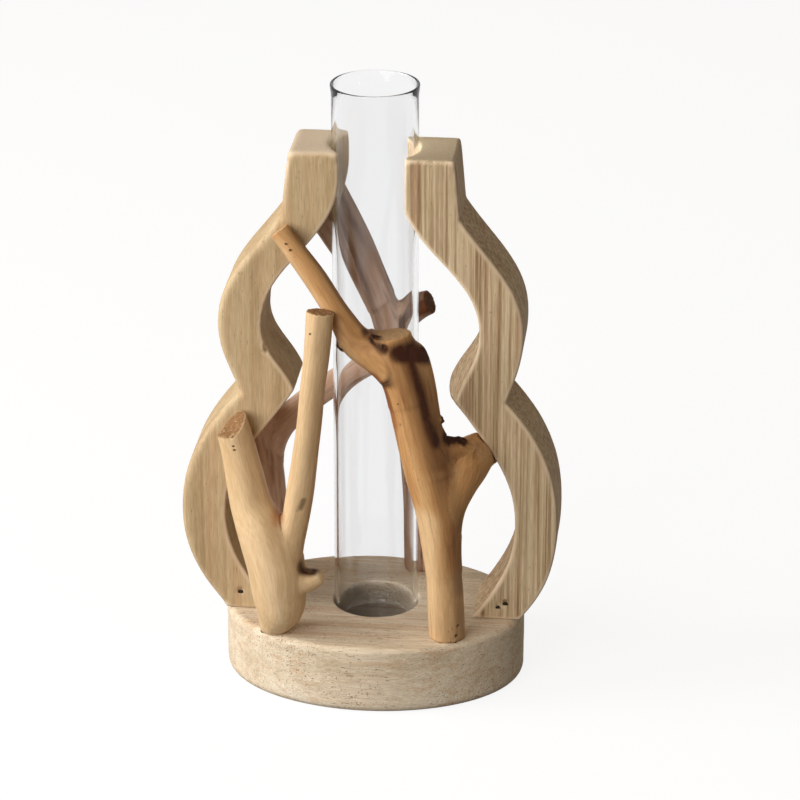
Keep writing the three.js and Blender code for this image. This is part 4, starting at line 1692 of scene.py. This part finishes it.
@dataclass(frozen=True)
class Lamp:
    """A round soft lamp that faces the vase."""

    name: str
    way: Place
    distance: float
    size: float
    power: float

    def hang(self, target: Place) -> None:
        """Hang the lamp.

        Args:
            target: The place that it faces.
        """
        light = bpy.data.lights.new(self.name, "AREA")
        light.shape = "DISK"
        light.size = self.size
        light.energy = self.power
        aim(self.name, light, target, Vector(self.way).normalized(), self.distance)


@dataclass
class Studio:
    """White floor and background, soft lamps from the left and the front, and the photograph's camera."""

    finish: StudioFinish
    lamps: tuple[Lamp, ...]
    floor_size: float = 3.0
    azimuth: float = 6.0
    elevation: float = 22.902
    distance: float = 1.27134
    target: Place = (0.008522, 0.0, 0.102183)
    lens: float = 162.94
    sensor: float = 36.0
    ambient: float = 0.25
    ambient_tint: Colour = (1.0, 0.86, 0.7, 1.0)

    def build(self) -> None:
        """Set the floor, the world, the lamps and the camera."""
        self.lay_floor()
        self.light_world()
        for lamp in self.lamps:
            lamp.hang(self.target)
        self.set_camera()
        bpy.context.scene.view_settings.view_transform = "Standard"

    def lay_floor(self) -> None:
        """Lay a wide sheet of white paper under the vase."""
        half = self.floor_size / 2
        mesh = bpy.data.meshes.new("paper_floor")
        corners = [(-half, -half, 0), (half, -half, 0), (half, half, 0), (-half, half, 0)]
        mesh.from_pydata(corners, [], [(0, 1, 2, 3)])
        floor = new_object("paper_floor", mesh)
        mesh.materials.append(self.finish.material())

    def light_world(self) -> None:
        """Make the surroundings white to the eye and dim as a light."""
        world = bpy.data.worlds.new("studio")
        world.use_nodes = True
        tree = world.node_tree
        lit = tree.nodes["Background"]
        lit.inputs["Color"].default_value = self.ambient_tint
        lit.inputs["Strength"].default_value = self.ambient
        white = tree.nodes.new("ShaderNodeBackground")
        white.inputs["Color"].default_value = WHITE
        either = tree.nodes.new("ShaderNodeMixShader")
        tree.links.new(self.finish.seen(tree), either.inputs[0])
        tree.links.new(lit.outputs[0], either.inputs[1])
        tree.links.new(white.outputs[0], either.inputs[2])
        tree.links.new(either.outputs[0], tree.nodes["World Output"].inputs["Surface"])
        bpy.context.scene.world = world

    def set_camera(self) -> None:
        """Set the camera where the photograph was taken from."""
        turn, rise = math.radians(self.azimuth), math.radians(self.elevation)
        away = Vector((math.sin(turn) * math.cos(rise), -math.cos(turn) * math.cos(rise), math.sin(rise)))
        camera = bpy.data.cameras.new("photo_camera")
        camera.lens = self.lens
        camera.sensor_width = self.sensor
        bpy.context.scene.camera = aim("photo_camera", camera, self.target, away, self.distance)


LAMPS = (
    Lamp("side_lamp", way=(-0.92, -0.2, 0.38), distance=1.6, size=1.0, power=21.6),
    Lamp("front_lamp", way=(-0.45, -0.84, 0.4), distance=1.8, size=1.6, power=21.4),
)

UPRIGHT = (0, 0, 1)
LENGTHWISE = (1, 0, 0)

BASE_FINISH = SawnFinish(
    name="sanded_base_wood", dark=paint(213, 194, 165), middle=paint(236, 219, 193),
    light=paint(243, 230, 209), blush=paint(218, 184, 148), pore=paint(122, 90, 58),
    end=paint(214, 192, 156), worn=paint(236, 219, 186), along=LENGTHWISE, stripe_pitch=1.6,
    stripe_share=0.45, stripe_edge=0.18, pore_limit=0.75, speck_limit=0.81, shift=17.0,
)
LEFT_BOARD_FINISH = SawnFinish(
    name="left_board_wood", dark=paint(178, 152, 114), middle=paint(203, 177, 138),
    light=paint(214, 192, 153), blush=paint(210, 174, 136), pore=paint(124, 94, 62),
    end=paint(214, 195, 170), worn=paint(232, 208, 176), along=UPRIGHT, stripe_pitch=1.7,
    stripe_share=0.5, stripe_edge=0.17, pore_limit=0.78, speck_limit=1.02, shift=5.0,
)
RIGHT_BOARD_FINISH = SawnFinish(
    name="right_board_wood", dark=paint(158, 128, 96), middle=paint(205, 180, 144),
    light=paint(226, 207, 172), blush=paint(200, 158, 126), pore=paint(112, 82, 56),
    end=paint(160, 144, 118), worn=paint(234, 210, 178), along=UPRIGHT, stripe_pitch=0.95,
    stripe_share=0.8, stripe_edge=0.13, pore_limit=0.79, speck_limit=1.0, shift=29.0,
)
PALE_FINISH = BranchFinish(
    name="pale_branch_wood", dark=paint(212, 178, 134), middle=paint(223, 191, 148),
    light=paint(232, 204, 166), streak=paint(206, 170, 122), stain_and_shade=paint(168, 104, 66),
    blush=paint(176, 120, 78), pale=paint(236, 212, 172), sawn=paint(142, 104, 68), streak_pitch=2.2,
    streak_share=0.2, gloss=0.5, shift=3.0,
)
BROWN_FINISH = BranchFinish(
    name="brown_branch_wood", dark=paint(152, 104, 64), middle=paint(200, 151, 99),
    light=paint(217, 178, 126), streak=paint(146, 88, 46), stain_and_shade=paint(92, 52, 28),
    blush=paint(150, 84, 44), pale=paint(222, 187, 142), sawn=paint(170, 136, 96), streak_pitch=1.6,
    streak_share=0.45, gloss=0.45, shift=41.0,
)
GREY_FINISH = BranchFinish(
    name="grey_branch_wood", dark=paint(112, 76, 54), middle=paint(180, 144, 118),
    light=paint(220, 192, 170), streak=paint(86, 54, 36), stain_and_shade=paint(96, 56, 34),
    blush=paint(150, 96, 66), pale=paint(218, 190, 168), sawn=paint(100, 64, 38), streak_pitch=4.0,
    streak_share=0.95, gloss=0.52, shift=67.0,
)
# Painted light: the rear left fork shares the grey branch slot but gets this paler finish, to look lit where
# it lies in the shade of the left board and the front left fork.
PAINTED_LIGHT_PINK_FINISH = BranchFinish(
    name="pink_branch_wood_painted_light", dark=paint(192, 142, 112), middle=paint(232, 190, 160),
    light=paint(240, 210, 186), streak=paint(152, 102, 74), stain_and_shade=paint(120, 74, 48),
    blush=paint(180, 120, 86), pale=paint(236, 206, 182), sawn=paint(150, 106, 74), streak_pitch=3.0,
    streak_share=0.7, gloss=0.52, shift=71.0,
)

FRONT, REAR = -1, 1

FRONT_LEFT_FORK = Branch(
    node="front_left_fork",
    side=FRONT,
    slot=Slot.PALE,
    finish=PALE_FINISH,
    limbs=(
        Limb((
            (-34.3, 14.95, -3, 3.4), (-32.9, 16.6, 3, 5.4), (-30.6, 17, 10, 8.4), (-31.2, 16.4, 15.5, 9.4),
            (-32.2, 15.6, 24, 10), (-36.1, 13.6, 35, 9.1), (-41.1, 10.7, 45, 7.4), (-43.7, 8.4, 55, 6.8),
            (-46.5, 6.4, 66, 6), (-50, 5.4, 80, 5.5),
        )),
        Limb((
            (-31, 14.8, 24, 7), (-25.8, 14.2, 41, 5.1), (-23.1, 14.3, 56, 4.7), (-20.9, 14.9, 72, 4.4),
            (-18.7, 15.6, 91, 4.3), (-17.1, 16.7, 105, 4.5), (-16.2, 17.2, 114, 4.7),
            (-15.6, 16.3, 121.4, 4.9),
        )),
        Limb(((-28, 16.4, 19.5, 5), (-21.4, 17.2, 20.6, 4.2), (-15.6, 18.2, 23.2, 2.6))),
    ),
    cuts=(
        SawCut((-48.1, -19.9, 97), (-0.68, -0.33, 0.66), 12),
        SawCut((-15.6, -29.3, 146), (0.08, 0.12, 0.99), 8),
    ),
    marks=(
        # Brad holes and pits, dented and given painted shade.
        Mark(PIT, (-21.6, -31.6, 76.2), (-22.7, -31.9, 73.4), 1.5, -0.25, 0.62),
        spot(PIT, (-24, -32, 72.4), 0.8, 0, 0.3),
        spot(PIT, (-26.8, -31.8, 80.2), 0.5, -0.3, 0.8),
        spot(PIT, (-14.9, -33.8, 133.1), 0.5, -0.3, 0.8),
        Mark(BLUSH, (-33, -30, 70), (-31, -26, 72), 7, -0.2, 0.9, (0, 1), 5),
        # Painted shade in the dented recess on the spur, short of its pale knob.
        Mark(DARK, (-21.4, -31.5, 50.4), (-19.2, -31, 50), 4.2, -0.7),
        Mark(DARK, (-32, -29, 68), (-31, -26, 72), 6, 0, 0.6, (0, 1), 0.9),
        spot(PALE, (-15.6, -31.4, 48), 4.5),
    ),
    softenings=(Softening((-15.6, -31.4, 48), 4.5, 30), Softening((-15.6, -29.3, 146), 7, 3)),
    blend=0.7 * MM,
)
FRONT_RIGHT_BRANCH = Branch(
    node="front_right_branch",
    side=FRONT,
    slot=Slot.BROWN,
    finish=BROWN_FINISH,
    limbs=(
        Limb((
            (27.95, 14.3, -3, 6.4), (27.8, 15.8, 9.2, 6.5), (26.4, 16.2, 30, 6.2), (24.2, 15, 47.4, 7),
            (20.3, 13.8, 63.4, 7.6), (16, 13, 79.4, 6.9), (12.5, 12, 94.4, 6.7), (9.4, 11.2, 105, 6.6),
            (8.3, 11, 112, 6.3),
        )),
        Limb(
            ((23.6, 13.6, 62, 4.6), (21.6, 12.8, 76, 4.3), (20.2, 12.4, 87, 4.1), (17.5, 11.8, 101, 4.2),
             (16.3, 11.5, 105.4, 3.8)),
            round_end=True,
        ),
        Limb((
            (14.6, 12.6, 88, 4.5), (11.6, 11.9, 97.5, 6.2), (2.6, 11.2, 104.9, 6.5), (-3.8, 10.6, 108.3, 5.5),
            (-9.8, 9.2, 116.8, 4.3), (-18.5, 7.1, 130, 4.1), (-24.6, 5.4, 137.8, 3.8), (-31, 3.7, 145.8, 3.5),
        )),
        Limb((
            (27.6, 15.4, 26, 3.6), (26.8, 14.8, 40, 5.2), (27.6, 13.2, 50, 6.7), (30.2, 9.4, 57.5, 8),
            (33.4, 3.8, 61.4, 8.2), (36.9, -4, 62.6, 6.8), (41, -10, 62.6, 5.8), (44, -15, 62.6, 5.4),
        )),
        Limb(
            ((25.4, 12.4, 67.6, 3.2), (27.6, 11, 69.6, 3.4), (30.4, 8.8, 69.6, 3.4), (33.8, 4.8, 66.8, 3.2)),
            round_end=True,
            web=True,
        ),
    ),
    cuts=(SawCut((8.3, -24, 136.6), (-0.155, 0.03, 0.99), 8),),
    marks=(
        Mark(DARK, (11.4, -30.2, 132.4), (19.6, -25.8, 130.4), 5.2, 0.1),
        Mark(DARK, (16, -29, 132), (22, -31, 106), 7, -0.2, 0.9, (0, 1), 2.4),
        Mark(DARK, (22, -31, 108), (23, -31, 101), 5, -0.1, 0.9, (0, 1), 2.2),
        Mark(STAIN_AND_SHADE, (15, -29, 132), (24.6, -31, 94), 9, 0, 0.8, (0, 1), 6),
        # Painted shade down the right half of the stem, over a brown stain.
        Mark(STAIN_AND_SHADE, (25.4, -31, 98), (31, -29, 46), 7, 0, 0.55),
        Mark(BARK, (25.4, -25, 99), (31.6, -21.4, 98.4), 4.8, 0.3),
        Mark(DARK, (25, -25.6, 99.4), (32, -21, 98.6), 4.6, 0.2),
        spot(BARK, (25.4, -26, 106.5), 1.8, 1),
        spot(BARK, (3, -27, 135.4), 3.4, 0.4),
        Mark(DARK, (-1, -25, 136.6), (6.4, -30, 133.4), 3, 0.1, 0.9),
        spot(BARK, (6.2, -30, 134.4), 1.7, 0.3, 0.9),
        spot(BARK, (-9.2, -25.4, 132.4), 3, 0.9),
        Mark(DARK, (4, -28, 124), (10, -31, 108), 9, -0.1, 0.8, (0, 2), 0.9),
        Mark(BLUSH, (4, -27, 123), (8.4, -29.6, 106), 4.4, 0, 0.6),
        # Painted shade along the upper side of the left limb.
        Mark(STAIN_AND_SHADE, (2, -24, 136), (-26, -17, 169), 3.8, 0, 0.55),
        # Painted light on the right limb, which lies in the stem's shade.
        spot(PALE, (36, -16, 90), 8, 0, 0.7),
        # Painted light along the lit lower left flank of the left limb.
        Mark(PALE, (-31, -19, 164), (-6, -26, 128), 6, 0, 0.8),
        # Painted shade under the left limb, where it leaves the stem.
        Mark(STAIN_AND_SHADE, (3.4, -27, 123), (6.6, -29, 112), 4.4, 0, 0.7),
        spot(PALE, (-31.6, -17, 171), 3.4),
        # Painted light on the lit left side of the lower stem, over its paler wood.
        Mark(PALE, (24, -31, 24), (20, -32, 70), 9),
        Mark(PALE, (28, -28, 22), (26, -29, 46), 12, 0, 0.7),
        # Brad holes, dented and given painted shade.
        spot(PIT, (11.2, -32, 114.3), 0.6, -0.2),
        spot(PIT, (11.9, -32.1, 106.5), 0.6, -0.2),
        spot(PIT, (32.3, -32.9, 31.4), 0.9, -0.4),
        spot(PIT, (31.7, -33, 27.5), 1, -0.4),
    ),
    softenings=(Softening((19.2, -24.3, 134), 4, 20),),
    blend=1.6 * MM,
)
REAR_RIGHT_BRANCH = Branch(
    node="rear_right_branch",
    side=REAR,
    slot=Slot.GREY,
    finish=GREY_FINISH,
    limbs=(
        Limb((
            (16.5, 16.06, -3, 7), (15.8, 15.4, 24, 6.8), (14.6, 14.4, 38, 6.6), (10.8, 12.8, 60, 6.4),
            (6, 11.4, 82.6, 6.4), (1.9, 10.2, 99.6, 6.1), (-3.4, 9.2, 114.6, 5.6), (-9, 8, 129.6, 5.2),
            (-15, 6.2, 142, 5), (-22, 4.8, 153, 4.6),
        )),
        Limb((
            (-0.5, 10, 106, 5), (-8, 9.6, 116, 4.6), (-15, 7.4, 127.4, 4.3), (-20, 5.6, 135.6, 4.1),
            (-28, 4.1, 145.4, 3.8),
        )),
        Limb(((3, 11, 94, 5), (9.5, 10.4, 101.4, 4.7), (13.6, 9.6, 104.8, 4.6), (16.8, 9, 106.4, 4.3))),
    ),
    cuts=(SawCut((16.8, 22, 131), (0.88, -0.17, 0.44), 7),),
    marks=(
        Mark(STAIN_AND_SHADE, (15, 21, 130), (19, 21, 132), 7),
        spot(DARK, (17.6, 21.4, 131.2), 5.4, 0, 0.55),
    ),
)
REAR_LEFT_FORK = Branch(
    node="rear_left_fork",
    side=REAR,
    slot=Slot.GREY,
    finish=PAINTED_LIGHT_PINK_FINISH,
    limbs=(
        Limb((
            (-38, 7, -3, 6.4), (-41.4, 8.4, 20, 7), (-43.2, 8, 38.4, 7.3), (-44.6, 7.6, 52, 7),
            (-46.5, 6.8, 64, 6.3), (-48, 6.2, 70, 5.9),
        )),
        Limb((
            (-43, 8.4, 46, 6), (-36.5, 8.2, 57.4, 5.2), (-27.5, 8.6, 66.4, 4.7), (-19.4, 9.5, 72.4, 4.5),
            (-11.9, 10.5, 77.7, 4.4), (3, 11.6, 86, 4.3),
        )),
    ),
    cuts=(SawCut((-48, 19.2, 94.6), (-0.23, -0.1, 1), 8),),
    marks=(
        spot(STAIN_AND_SHADE, (-40, 20, 76), 4),
        # Painted light on the lower trunk, which lies in the left board's shade.
        Mark(PALE, (-40, 21, 28), (-42, 21, 56), 10, 0, 0.8),
    ),
)

LEFT_BOARD = Board(
    node="left_board",
    finish=LEFT_BOARD_FINISH,
    crown_rounds=22,
    # A chip on the inner arris, dented and given painted shade.
    marks=(Mark(PIT, (-36.9, -12.8, 124.2), (-36.9, -12.8, 126.6), 1.1, -0.5),),
)
RIGHT_BOARD_TEETH = ((16.2, 0.8), (18.4, 0.6), (20.4, 0.9), (22.6, 0.6), (24.8, 0.8))
RIGHT_BOARD = Board(
    node="right_board",
    finish=RIGHT_BOARD_FINISH,
    marks=(
        # Tear-outs along the top arris and a small dent, each given painted shade.
        *(spot(PIT, (across, -12.9, 195.6), radius, -0.3) for across, radius in RIGHT_BOARD_TEETH),
        spot(PIT, (41.2, -13, 141.8), 0.5, -0.2),
    ),
)


def main() -> None:
    """Build the studio and every piece of the vase, in order."""
    logging.basicConfig(level=logging.INFO, format="%(message)s")
    Studio(StudioFinish(), LAMPS).build()
    brads = Brads(SteelFinish())
    measured = brads.measure()
    base = BaseOval(BASE_FINISH)
    base.dress(base.build())
    for board in (LEFT_BOARD, RIGHT_BOARD):
        board.dress(board.build(measured))
    for branch in (FRONT_LEFT_FORK, FRONT_RIGHT_BRANCH, REAR_RIGHT_BRANCH, REAR_LEFT_FORK):
        branch.dress(branch.build(measured))
    tube = GlassTube(GlassFinish())
    tube.dress(tube.build())
    brads.dress()


if __name__ == "__main__":
    main()
